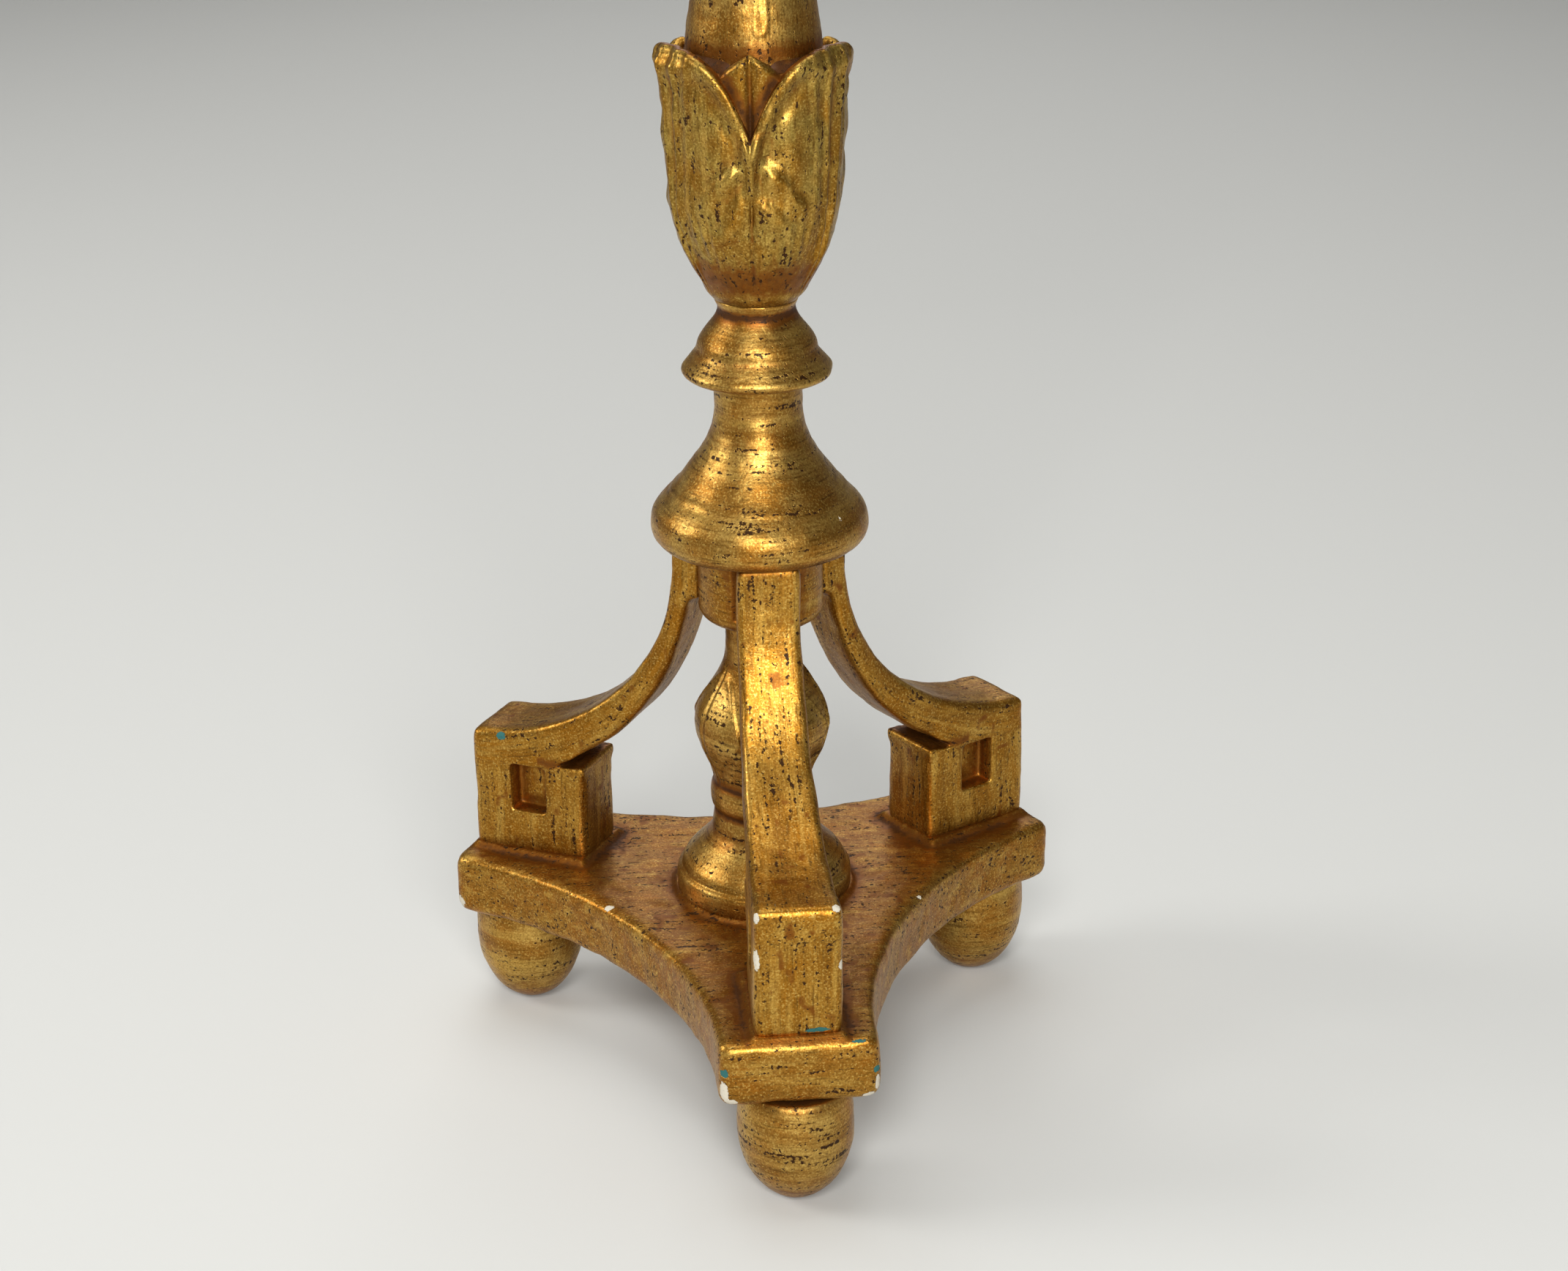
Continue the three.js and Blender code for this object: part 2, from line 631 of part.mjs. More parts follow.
function legOutline() {
  const leg = new THREE.Shape();
  const bend = LEG_RISE - LEG_TOP_STRAIGHT;
  const across = LEG_FACE_RADIAL - LEG_TOP_RADIAL;
  const up = bend - LEG_BLOCK_HEIGHT;
  const innerAcross = across + LEG_TOP_THICKNESS;
  const innerUp = up + LEG_STRAP_THICKNESS;
  const gapEnd = Math.acos((LEG_FACE_RADIAL - LEG_GAP_END_RADIAL) / innerAcross);
  leg.moveTo(LEG_BLOCK_INNER_RADIAL, 0);
  leg.lineTo(LEG_FACE_RADIAL, 0);
  leg.lineTo(LEG_FACE_RADIAL, LEG_BLOCK_HEIGHT);
  leg.absellipse(LEG_FACE_RADIAL, bend, across, up, -Math.PI / 2, -Math.PI, true);
  leg.lineTo(LEG_TOP_RADIAL, LEG_RISE);
  leg.lineTo(HUB_SEAT_RADIAL + FIT, LEG_RISE);
  leg.lineTo(HUB_SEAT_RADIAL + FIT, LEG_RISE - HUB_SEAT_HEIGHT + FIT);
  leg.lineTo(LEG_TOP_RADIAL - LEG_TOP_THICKNESS, LEG_RISE - HUB_SEAT_HEIGHT + FIT);
  leg.absellipse(LEG_FACE_RADIAL, bend, innerAcross, innerUp,
    Math.PI + shoulderAngle(bend, innerUp), Math.PI + gapEnd, false);
  leg.lineTo(LEG_BLOCK_INNER_RADIAL, LEG_KEY_HEIGHT);
  return leg;
}

// How far round the under curve the shoulder below the hub's flat lies.
function shoulderAngle(bend, innerUp) {
  return Math.asin((bend - (LEG_RISE - HUB_SEAT_HEIGHT + FIT)) / innerUp);
}

// The leg narrows in plan from its block to the hub.
function legHalfWidth(radial) {
  const t = (radial - LEG_TOP_RADIAL) / (LEG_FACE_RADIAL - LEG_TOP_RADIAL);
  return LEG_TOP_HALF_WIDTH + (LEG_BLOCK_HALF_WIDTH - LEG_TOP_HALF_WIDTH) * t;
}

function leg() {
  const outline = faceted(legOutline(), 8);
  const board = new THREE.ExtrudeGeometry(outline, { depth: 2, bevelEnabled: false });
  board.translate(0, 0, -1).rotateX(Math.PI / 2);
  const place = board.attributes.position;
  for (let i = 0; i < place.count; i++) {
    place.setY(i, place.getY(i) * legHalfWidth(place.getX(i)));
  }
  let body = solid(board);
  const pocketMiddle = LEG_GAP_END_RADIAL + POCKET_WIDTH / 2;
  for (const side of [-1, 1]) {
    const pocket = new THREE.BoxGeometry(POCKET_WIDTH, 2 * POCKET_DEPTH, POCKET_HEIGHT);
    pocket.translate(pocketMiddle, side * legHalfWidth(pocketMiddle),
      POCKET_BOTTOM + POCKET_HEIGHT / 2);
    body = body.subtract(solid(pocket));
  }
  body = body.rotate([0, 0, -90]);
  return body.subtract(screwHole().translate([0, 0, -PLINTH_THICKNESS]))
    .subtract(pegHole().translate([0, 0, LEG_RISE - PEG_DROP]));
}

// Pegs lie level, half in the hub and half in the leg.
function peg(clearance = 0) {
  const inner = HUB_SEAT_RADIAL - PEG_REACH - clearance;
  const outer = HUB_SEAT_RADIAL + FIT + PEG_REACH + clearance;
  return rod(PEG_RADIUS + clearance, inner, outer, 12).rotate([90, 0, 0]);
}

function pegHole() {
  return peg(FIT);
}

function legScrew() {
  const slot = new THREE.BoxGeometry(3 * SCREW_HEAD_RADIUS, SLOT_WIDTH, 2 * SLOT_DEPTH);
  return lathe(screwProfile(), 12).subtract(solid(slot));
}

function hub() {
  let body = lathe(hubProfile());
  const seat = new THREE.BoxGeometry(4 * HUB_RADIUS, HUB_RADIUS, HUB_SEAT_HEIGHT + FIT);
  seat.translate(0, -HUB_SEAT_RADIAL - HUB_RADIUS / 2,
    HUB_HEIGHT - (HUB_SEAT_HEIGHT - FIT) / 2);
  for (let i = 0; i < 3; i++) {
    const hole = pegHole().translate([0, 0, HUB_HEIGHT - PEG_DROP]);
    body = body.subtract(solid(seat).add(hole).rotate([0, 0, i * 120]));
  }
  return body;
}

// ---------------------------------------------------------------- the stand

function gilding(color, roughness = 0.42) {
  return new THREE.MeshStandardMaterial({ color, roughness, metalness: 0.65 });
}

const stand = new THREE.Group();

function place(name, body, material, height, turn = 0) {
  const mesh = named(name, body, material);
  mesh.position.z = height;
  mesh.rotation.z = turn;
  stand.add(mesh);
}

['front', 'right', 'left'].forEach((side, i) => {
  const sector = new THREE.Group();
  sector.rotation.z = i * LEG_SPACING;
  const foot = named(`foot_${side}`, lathe(footProfile(), 20), gilding(0xa8782c));
  foot.position.set(0, -FOOT_RADIAL, 0);
  const strut = named(`leg_${side}`, leg(), gilding(0xb28436));
  strut.position.z = PLINTH_TOP;
  const steel = new THREE.MeshStandardMaterial({ color: 0x6b665e, roughness: 0.5, metalness: 1 });
  const screw = named(`leg_screw_${side}`, legScrew(), steel);
  screw.position.set(0, -LEG_SCREW_RADIAL, FOOT_HEIGHT);
  const beech = new THREE.MeshStandardMaterial({ color: 0xb8946a, roughness: 0.8 });
  const dowel = named(`leg_peg_${side}`, peg(), beech);
  dowel.position.z = BELL_BASE - PEG_DROP;
  sector.add(foot, strut, screw, dowel);
  stand.add(sector);
});

place('plinth', plinth(), gilding(0x9c6c28), FOOT_HEIGHT);
place('baluster', lathe(balusterProfile()), gilding(0xa8782c), PLINTH_TOP);
place('hub', hub(), gilding(0x8a5a22), HUB_BASE);
place('bell', lathe(bellProfile()), gilding(0xb28838), BELL_BASE);
place('knop', lathe(knopProfile()), gilding(0xb58a3a), KNOP_BASE);
place('calyx', calyx(), gilding(0xa9863c), CALYX_BASE, LEAF_TURN);
place('column', lathe(columnProfile()), gilding(0xb58a3a), COLUMN_BASE);
place('neck_ring', lathe(ringProfile()), gilding(0xb58a3a), RING_BASE);
place('capital', capital(), gilding(0xa9863c), CAPITAL_BASE, LEAF_TURN);
place('drip_pan', lathe(panProfile(), 34), gilding(0xb28838), PAN_BASE);

const iron = new THREE.MeshStandardMaterial({ color: 0x3b3733, roughness: 0.6, metalness: 0.9 });
place('pricket_plate', lathe(plateProfile(), 20), iron, PAN_BASE + DISH_FLOOR);
place('pricket_spike', lathe(spikeProfile(), 16), iron, PAN_BASE + DISH_FLOOR);

export default stand;
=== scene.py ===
"""The looks of a torchere candle stand: worn gilding over gesso on turned and carved wood.

Sizes are in millimetres until a mesh is made. Every object sits at the origin of the stand's own
frame: +Z up the column, the front leg towards -Y.
"""

import math

import bpy
import numpy as np
from mathutils import Matrix, Vector


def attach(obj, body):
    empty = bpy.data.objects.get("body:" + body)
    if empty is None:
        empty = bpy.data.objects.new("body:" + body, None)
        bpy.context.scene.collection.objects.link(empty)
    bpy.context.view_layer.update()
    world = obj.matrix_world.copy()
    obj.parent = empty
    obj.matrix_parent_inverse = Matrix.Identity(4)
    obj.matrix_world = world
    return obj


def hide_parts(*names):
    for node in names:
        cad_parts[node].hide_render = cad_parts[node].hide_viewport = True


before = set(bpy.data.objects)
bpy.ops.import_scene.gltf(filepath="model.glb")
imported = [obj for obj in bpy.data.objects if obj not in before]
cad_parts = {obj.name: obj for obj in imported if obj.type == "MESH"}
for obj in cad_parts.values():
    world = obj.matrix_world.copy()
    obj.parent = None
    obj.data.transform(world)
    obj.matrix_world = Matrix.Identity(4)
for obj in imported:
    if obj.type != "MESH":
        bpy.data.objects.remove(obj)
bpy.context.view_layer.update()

MM = 0.001
THIRD = 2 * math.pi / 3
FRONT = -math.pi / 2
SIDES = ("front", "right", "left")  # each a third of a turn on from the last
LEAF_TURN = math.radians(-8.1)  # the carving stands a little round from the legs

# Levels up the stand
PLINTH_BASE, PLINTH_TOP = 56.0, 87.3
HUB_BASE, BELL_BASE = 224.5, 262.0
KNOP_BASE, CALYX_BASE, COLUMN_BASE = 338.5, 375.3, 479.3
RING_BASE, CAPITAL_BASE, PAN_BASE, DISH_FLOOR = 862.3, 874.3, 934.3, 961.3

# Spigots, and the sockets that they stand in
SPIGOT_RADIUS, SPIGOT_LENGTH = 9.5, 17.0
SOCKET_RADIUS, SPIKE_HOLE = 9.8, 3.3

# Plinth: its corner faces, the depth of its hollow sides, and the feet and baluster on it
CORNER_REACH, CORNER_HALF, HOLLOW_REACH = 150.0, 35.5, 74.7
FOOT_RADIAL, FOOT_RADIUS, FOOT_BELLY = 128.0, 26.2, 36.0
BALUSTER_FOOT = 41.0

# Legs, as distances from the axis and heights above the plinth: the block at the foot, the
# strap at the top, the slot over the inner block, and the sunk square on each side
LEG_FRONT, STRAP_TOP, BLOCK_BACK, SLOT_FRONT = 145.0, 39.0, 86.5, 107.0
HUB_FLAT = 24.0
BLOCK_HALF, STRAP_HALF = 19.7, 14.5
POCKET_OUT, POCKET_UP, POCKET_HALF, POCKET_HALF_UP = 115.75, 34.0, 8.75, 12.0
SLOT_LEVEL = 49.5
LEG_RISE = BELL_BASE - PLINTH_TOP
LEG_BEND = LEG_RISE - 12.2  # level of the centre that the leg's curves are struck from
HUB_DROP = 31.0  # how far the legs' backs reach down the hub


# ------------------------------------------------------------------------- shapes as points


def field(points, size, seed=0):
    """A smooth random value from -1 to 1 at each point, in lumps about size mm across."""
    spot = np.asarray(points, float) / size + 31.7 * (seed + 1)
    cell = np.floor(spot).astype(np.int64)
    ease = spot - cell
    ease = ease * ease * (3 - 2 * ease)
    total = np.zeros(spot.shape[:-1])
    for corner in np.ndindex(2, 2, 2):
        # The corner's own numbers, scrambled into one value, the same each run.
        c = cell + corner
        mixed = c[..., 0] * 374761393 + c[..., 1] * 668265263 + c[..., 2] * 2147483647
        mixed = (mixed + seed * 1013904223) & 0xFFFFFFFF
        mixed = ((mixed ^ (mixed >> 13)) * 1274126177) & 0xFFFFFFFF
        value = ((mixed ^ (mixed >> 16)) & 0xFFFF) / 32767.5 - 1
        share = np.prod(np.where(corner, ease, 1 - ease), axis=-1)
        total += share * value
    return total


def unevenness(points, seed=0):
    """How far hand-laid gesso stands off a true surface, in mm."""
    return (
        0.45 * field(points, 26, seed)
        + 0.30 * field(points, 10, seed + 1)
        + 0.12 * field(points, 4, seed + 2)
    )


def bump(x, width):
    """1 where x is 0, falling away smoothly over width."""
    return np.exp(-((x / width) ** 2))


def fade(value, low, high):
    """0 below low, 1 above high, and an even ramp between."""
    return np.clip((value - low) / (high - low), 0, 1)


def polar(radius, angle):
    return np.array([radius * math.cos(angle), radius * math.sin(angle)])


def facing(turn):
    """The direction of a side of the stand, numbered as in SIDES."""
    return FRONT + turn * THIRD


class Turning:
    """A turned profile drawn upwards, in the mouldings that a turner would name."""

    def __init__(self, radius, z=0.0):
        self.points = [(radius, z)]

    def line(self, radius, rise):
        self.points.append((radius, self.points[-1][1] + rise))
        return self

    def step(self, radius):
        return self.line(radius, 0)

    def sweep(self, radius, rise, across, up):
        """A curve to the next radius, its shares across and up each given from 0 to 1."""
        r, z = self.points[-1]
        for t in np.linspace(0, 1, 25)[1:]:
            self.points.append((r + (radius - r) * across(t), z + rise * up(t)))
        return self

    def ogee(self, radius, rise):
        return self.sweep(radius, rise, lambda t: (1 - math.cos(math.pi * t)) / 2, lambda t: t)

    def ovolo(self, radius, rise):
        grow = (lambda t: math.sin(t * math.pi / 2), lambda t: 1 - math.cos(t * math.pi / 2))
        return self.sweep(radius, rise, *(grow if radius > self.points[-1][0] else grow[::-1]))

    def torus(self, radius, rise, end):
        return self.ovolo(radius, rise / 2).ovolo(end, rise / 2)

    def soft(self, step=0.8, soften=1.4):
        """The profile in even steps, its sharp corners filled and rubbed as gesso leaves them."""
        p = np.array(self.points, float)
        keep = np.r_[True, np.linalg.norm(np.diff(p, axis=0), axis=1) > 1e-6]
        p = p[keep]
        along = np.r_[0, np.cumsum(np.linalg.norm(np.diff(p, axis=0), axis=1))]
        s = np.linspace(0, along[-1], max(int(along[-1] / step), 8) + 1)
        even = np.c_[np.interp(s, along, p[:, 0]), np.interp(s, along, p[:, 1])]
        reach = max(int(3 * soften / step), 1)
        weights = bump(np.arange(-reach, reach + 1) * step, soften)
        weights /= weights.sum()
        before = 2 * even[0] - even[reach:0:-1]
        after = 2 * even[-1] - even[-2 : -reach - 2 : -1]
        long = np.vstack([before, even, after])
        return np.c_[[np.convolve(long[:, k], weights, "valid") for k in (0, 1)]].T


# ------------------------------------------------------------------------- points as meshes


def grid_faces(rows, columns):
    """Quads over rows of points that close round on themselves."""
    r, c = np.meshgrid(np.arange(rows - 1), np.arange(columns), indexing="ij")
    here, beside = r * columns + c, r * columns + (c + 1) % columns
    return np.stack([here, beside, beside + columns, here + columns], -1).reshape(-1, 4)


def make_mesh(name, points, quads, caps=()):
    """A mesh object from points in mm. caps are rings of point numbers, closed by one face."""
    mesh = bpy.data.meshes.new(name)
    mesh.from_pydata((points * MM).tolist(), [], [*quads.tolist(), *[list(c) for c in caps]])
    mesh.validate()
    piece = bpy.data.objects.new(name, mesh)
    bpy.context.collection.objects.link(piece)
    return piece


def stacked_rings(name, points, columns):
    """A closed skin over rings of points, each of that many columns, from the bottom up."""
    flat = np.reshape(points, (-1, 3))
    caps = [range(columns - 1, -1, -1), range(len(flat) - columns, len(flat))]
    return make_mesh(name, flat, grid_faces(len(flat) // columns, columns), caps)


def mesh_points(mesh):
    points = np.empty(len(mesh.vertices) * 3, np.float32)
    mesh.vertices.foreach_get("co", points)
    return points.reshape(-1, 3).astype(float) / MM


def mesh_normals(mesh):
    normals = np.empty(len(mesh.vertices) * 3, np.float32)
    mesh.vertices.foreach_get("normal", normals)
    return normals.reshape(-1, 3).astype(float)


def move_points(mesh, points):
    mesh.vertices.foreach_set("co", (points * MM).astype(np.float32).ravel())
    mesh.update()


def store(mesh, name, values):
    """Keeps a value or a vector for each point, for the material to read."""
    flat = values.ndim == 1
    layer = mesh.attributes.new(name, "FLOAT" if flat else "FLOAT_VECTOR", "POINT")
    layer.data.foreach_set("value" if flat else "vector", values.astype(np.float32).ravel())


def spread(values, edges, rounds):
    """Each point's value averaged with its neighbours', again and again."""
    a, b = edges.T
    count = len(values)
    share = np.maximum(np.bincount(a, minlength=count) + np.bincount(b, minlength=count), 1)
    for _ in range(rounds):
        values = np.stack(
            [
                (
                    np.bincount(a, values[b, k], minlength=count)
                    + np.bincount(b, values[a, k], minlength=count)
                )
                / share
                for k in range(values.shape[1])
            ],
            1,
        )
    return values


def mesh_edges(mesh):
    edges = np.empty(len(mesh.edges) * 2, np.int32)
    mesh.edges.foreach_get("vertices", edges)
    return edges.reshape(-1, 2)


def place_piece(piece, nodes, material):
    """Smooths a mesh, gives it its material and sets it in the frame instead of CAD nodes."""
    mesh = piece.data
    mesh.polygons.foreach_set("use_smooth", np.ones(len(mesh.polygons), bool))
    mesh.update()
    mesh.materials.append(material)
    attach(piece, "root")
    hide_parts(*nodes)


def gilded(piece, nodes, material, lay, grime_and_shade=None, chips=None, paint=None, hollow_depth=0.8):
    """Marks where a mesh is rubbed, hollow, dirty or painted with shade, for its gilding, and
    places it.
    """
    mesh = piece.data
    points, normals, edges = mesh_points(mesh), mesh_normals(mesh), mesh_edges(mesh)
    near = spread(points, edges, 4)
    far = spread(near, edges, 44)
    proud = ((points - near) * normals).sum(1)
    sunk = ((far - points) * normals).sum(1)
    # Proud edges take less glaze, partly wear and partly a painted highlight. Sunk places and
    # up-facing faces take more glaze, which is both glaze and painted shade there.
    store(mesh, "edge", np.clip(proud / 0.3, 0, 1))
    store(mesh, "hollow", np.clip(sunk / hollow_depth, 0, 1))
    store(mesh, "settled_glaze_and_top_shade", np.clip(normals[:, 2], 0, 1) ** 8)
    store(mesh, "lay", lay(points))
    for name, amount in (("grime_and_shade", grime_and_shade), ("chip", chips), ("old_paint", paint)):
        store(mesh, name, np.zeros(len(points)) if amount is None else amount(points))
    place_piece(piece, nodes, material)


def round_lay(points):
    """Brush strokes that run round the axis: long round it, fine up and down."""
    return points * [1 / 14, 1 / 14, 1.0]


def upright_lay(points):
    """Strokes that run up and down, as on carved leaves."""
    return points * [1.0, 1.0, 1 / 9]


def turned(name, turning, base, relief=None, seed=0, step=0.9, soften=1.4, centre=(0, 0)):
    """Spins a profile into a mesh, with relief(angle, z) added to its radius."""
    profile = turning.soft(step, soften)
    columns = max(int(2 * math.pi * profile[:, 0].max() / step), 24)
    angle = np.arange(columns) * 2 * math.pi / columns
    radius = np.repeat(profile[:, :1], columns, 1)
    z = np.repeat(profile[:, 1:], columns, 1)
    angles = np.broadcast_to(angle, radius.shape)
    true = np.stack([radius * np.cos(angles), radius * np.sin(angles), z + base], -1)
    stand_off = unevenness(true, seed) * np.clip(radius / 12, 0, 1)
    rings = 0.06 * field(true * [0.02, 0.02, 1], 1.9, seed + 5)
    radius = radius + stand_off + rings
    if relief is not None:
        radius = radius + relief(angles, z)
    points = np.stack(
        [radius * np.cos(angles) + centre[0], radius * np.sin(angles) + centre[1], z + base], -1
    )
    return stacked_rings(name, points, columns)


# ------------------------------------------------------------------------- the finish


def linear(hex_colour):
    """An sRGB hex colour as the linear RGBA that Blender's sockets take."""
    parts = [int(hex_colour[i : i + 2], 16) / 255 for i in (1, 3, 5)]
    return (*[c / 12.92 if c <= 0.04045 else ((c + 0.055) / 1.055) ** 2.4 for c in parts], 1.0)


def add(tree, kind, inputs=None, **settings):
    """Adds a node with its settings, and sets or links its inputs."""
    made = tree.nodes.new(kind)
    for name, value in settings.items():
        setattr(made, name, value)
    for name, value in (inputs or {}).items():
        if isinstance(value, bpy.types.NodeSocket):
            tree.links.new(value, made.inputs[name])
        else:
            made.inputs[name].default_value = value
    return made


FACTOR, COLOUR_A, COLOUR_B, COLOUR_OUT = 0, 6, 7, 2  # sockets of a colour mix


def bare_material(name):
    """A new material with no nodes yet, and its node tree."""
    material = bpy.data.materials.new(name)
    material.use_nodes = True
    material.node_tree.nodes.clear()
    return material, material.node_tree


def gilding(name, rich, pale, glazing_and_shade=1.0):
    """Bronze-powder gilding brushed over gesso, toned with an umber glaze and worn.

    The eye sees a soft metal shine broken into grains and brush lines, pale where it faces the
    light and brown where the glaze lies, which is also painted shade in hollows, joints and on
    faces that look up; dark flecks where the surface is pitted, and brighter rubbed edges,
    partly a painted highlight. A few chips show white gesso or an older green-blue paint.
    """
    material, tree = bare_material(name)
    place = add(tree, "ShaderNodeTexCoord").outputs["Object"]
    thousand = {0: place, 1: (1000, 1000, 1000)}
    mm = add(tree, "ShaderNodeVectorMath", thousand, operation="MULTIPLY").outputs[0]
    lay = add(tree, "ShaderNodeAttribute", attribute_name="lay").outputs["Vector"]
    at = {
        word: add(tree, "ShaderNodeAttribute", attribute_name=word).outputs["Fac"]
        for word in ("hollow", "edge", "settled_glaze_and_top_shade", "grime_and_shade", "chip", "old_paint")
    }

    # Patterns: what each follows, the size of its lumps in mm, and how fine its detail goes.
    # Bronze powder is some 0.05 mm; its grains are drawn at 0.9 mm, or they wouldn't show at all.
    # Flecks are 1 to 3 mm long, drawn out along the brush strokes.
    for word, follows, size_mm, detail in (
        ("clouds", mm, 16, 4.0),
        ("mottle", mm, 3.2, 3.0),
        ("patches", lay, 5.5, 3.0),
        ("strokes", lay, 1.1, 3.0),
        ("grains", mm, 0.9, 1.0),
        ("long flecks", lay, 1.9, 2.0),
        ("round flecks", mm, 1.7, 2.0),
    ):
        inputs = {"Vector": follows, "Scale": 1 / size_mm, "Detail": detail}
        at[word] = add(tree, "ShaderNodeTexNoise", inputs).outputs["Fac"]

    # Sums of what is above: the shares that make each, and a span (from, to, and what these
    # become) where it is stretched. The glaze is thick in hollows, in corners, where grime is
    # marked and on faces that look up, and there it is both glaze and painted shade; it is thin
    # on proud edges, partly wear and partly a painted highlight. Chips are ragged along their
    # rims. Only powder and thin glaze shine as metal. The relief of brush lines, grains, pits
    # and chips is in mm.
    ragged = {"mottle": 0.8, "grains": 0.5}
    fleck = {"clouds": 0.3, "round flecks": 0.6, "long flecks": 0.6}
    # The hollow, up-facing and grime shares paint shade as well as glaze; the edge share is partly
    # a painted highlight.
    glaze_and_shade = {"hollow": 0.6 * glazing_and_shade, "settled_glaze_and_top_shade": 0.26 * glazing_and_shade, "grime_and_shade": 0.85, "edge": -0.45}
    glaze_and_shade |= {"mottle": 0.9, "clouds": 0.5}
    relief = {"strokes": 0.07, "grains": 0.06, "mottle": 0.14, "pitted": -0.14}
    relief |= {"painted": -0.2, "chipped": -0.35}
    for word, shares, span in (
        ("glaze_and_shade", glaze_and_shade, None),
        ("glazed", {"glaze_and_shade": 1}, (0.78, 1.3, 0, 0.9)),
        ("crusted", {"glaze_and_shade": 1}, (1.36, 1.75, 0, 0.92)),
        ("pitted", fleck, (0.852, 0.91, 0, 1)),
        ("painted", {**ragged, "old_paint": 1}, (1.17, 1.24, 0, 1)),
        ("chipped", {**ragged, "chip": 1}, (1.17, 1.24, 0, 1)),
        ("dull", {"painted": 1, "chipped": 1, "pitted": 0.4, "crusted": 0.6}, None),
        ("metallic", {"dull": 1}, (0, 1, 0.92, 0)),
        ("roughness", {"dull": 1, "glazed": 0.3}, (0, 1.2, 0.40, 0.62)),
        ("relief", relief, None),
    ):
        total = 0.0
        for part, share in shares.items():
            inputs = {0: at[part], 1: share, 2: total}
            total = add(tree, "ShaderNodeMath", inputs, operation="MULTIPLY_ADD").outputs[0]
        if span:
            inputs = dict(zip(("From Min", "From Max", "To Min", "To Max"), span))
            total = add(tree, "ShaderNodeMapRange", {"Value": total, **inputs}).outputs[0]
        at[word] = total

    # Colours one over another: what shows each, from where to where, how strongly, and the hex.
    # The powder drifts from rich to pale gold, olive where it was brushed thin, and is dark in
    # its strokes and grains. Over it lie glaze and old glaze crusted with dirt, which are also
    # painted shade in hollows, joints and on faces that look up, then pits and chips.
    colour = linear(rich)
    for word, low, high, most, hex_colour in (
        ("clouds", 0.38, 0.62, 1.0, pale),
        ("strokes", 0.40, 0.68, 0.55, "#7A5418"),
        ("patches", 0.50, 0.66, 0.6, "#84581A"),
        ("patches", 0.46, 0.32, 0.5, "#C8A04C"),
        ("grains", 0.52, 0.72, 0.5, "#4E3008"),
        ("grains", 0.44, 0.28, 0.5, "#DDBB66"),
        ("strokes", 0.60, 0.70, 0.42, "#42280C"),
        # The two glaze colours: brown glaze and dark crust, which are also painted shade where the
        # sum is high.
        ("glaze_and_shade", 0.78, 1.3, 0.9, "#7A4614"),
        ("glaze_and_shade", 1.36, 1.75, 0.92, "#3E220C"),
        ("pitted", 0, 1, 1, "#36200C"),
        ("painted", 0, 1, 1, "#2F5F5C"),
        ("chipped", 0, 1, 1, "#C2BAA8"),
    ):
        inputs = {"Value": at[word], "From Min": low, "From Max": high, "To Max": most}
        share = add(tree, "ShaderNodeMapRange", inputs).outputs[0]
        inputs = {FACTOR: share, COLOUR_A: colour, COLOUR_B: linear(hex_colour)}
        colour = add(tree, "ShaderNodeMix", inputs, data_type="RGBA").outputs[COLOUR_OUT]

    hump = {"Height": at["relief"], "Distance": MM, "Strength": 1.0}
    finish = {"Base Color": colour, "Metallic": at["metallic"], "Roughness": at["roughness"]}
    finish["Normal"] = add(tree, "ShaderNodeBump", hump).outputs["Normal"]
    finish |= {"Coat Weight": 0.05, "Coat Roughness": 0.3}  # the old shellac over it
    finish["Specular IOR Level"] = 0.1  # dirt, gesso and old paint are matt
    shader = add(tree, "ShaderNodeBsdfPrincipled", finish)
    add(tree, "ShaderNodeOutputMaterial", {"Surface": shader.outputs[0]})
    return material


def fine_grained(name, hex_colour, metallic, roughness, grain_mm, relief_mm):
    """A material whose colour and relief vary by one fine grain."""
    material, tree = bare_material(name)
    place = add(tree, "ShaderNodeTexCoord").outputs["Object"]
    thousand = {0: place, 1: (1000, 1000, 1000)}
    mm = add(tree, "ShaderNodeVectorMath", thousand, operation="MULTIPLY").outputs[0]
    inputs = {"Vector": mm, "Scale": 1 / grain_mm, "Detail": 4.0}
    grain = add(tree, "ShaderNodeTexNoise", inputs).outputs["Fac"]
    dark = tuple(0.55 * c for c in linear(hex_colour)[:3]) + (1.0,)
    inputs = {FACTOR: grain, COLOUR_A: dark, COLOUR_B: linear(hex_colour)}
    finish = {"Metallic": metallic, "Roughness": roughness}
    mixed = add(tree, "ShaderNodeMix", inputs, data_type="RGBA")
    finish["Base Color"] = mixed.outputs[COLOUR_OUT]
    height = add(tree, "ShaderNodeMath", {0: grain, 1: relief_mm}, operation="MULTIPLY")
    hump = {"Height": height.outputs[0], "Distance": MM}
    finish["Normal"] = add(tree, "ShaderNodeBump", hump).outputs["Normal"]
    shader = add(tree, "ShaderNodeBsdfPrincipled", finish)
    add(tree, "ShaderNodeOutputMaterial", {"Surface": shader.outputs[0]})
    return material


turned_gilding = gilding("gilding_turned", "#A6722A", "#BC964C")
leg_gilding = gilding("gilding_legs", "#A06A1A", "#B28434", glazing_and_shade=0.55)
leaf_gilding = gilding("gilding_leaves", "#9A6C20", "#A88C42")
plinth_gilding = gilding("gilding_plinth", "#A0661C", "#A87A30", glazing_and_shade=0.8)

# Forged iron blackened in oil: near black, a broad dull shine over hammer scale 2 mm across.
iron = fine_grained("forged_iron", "#4A443E", 0.85, 0.55, 2.2, 0.25)

# Steel wood screws, drawn and threaded, gone grey: a tight shine with fine marks.
steel = fine_grained("screw_steel", "#8A857C", 1.0, 0.42, 1.0, 0.03)

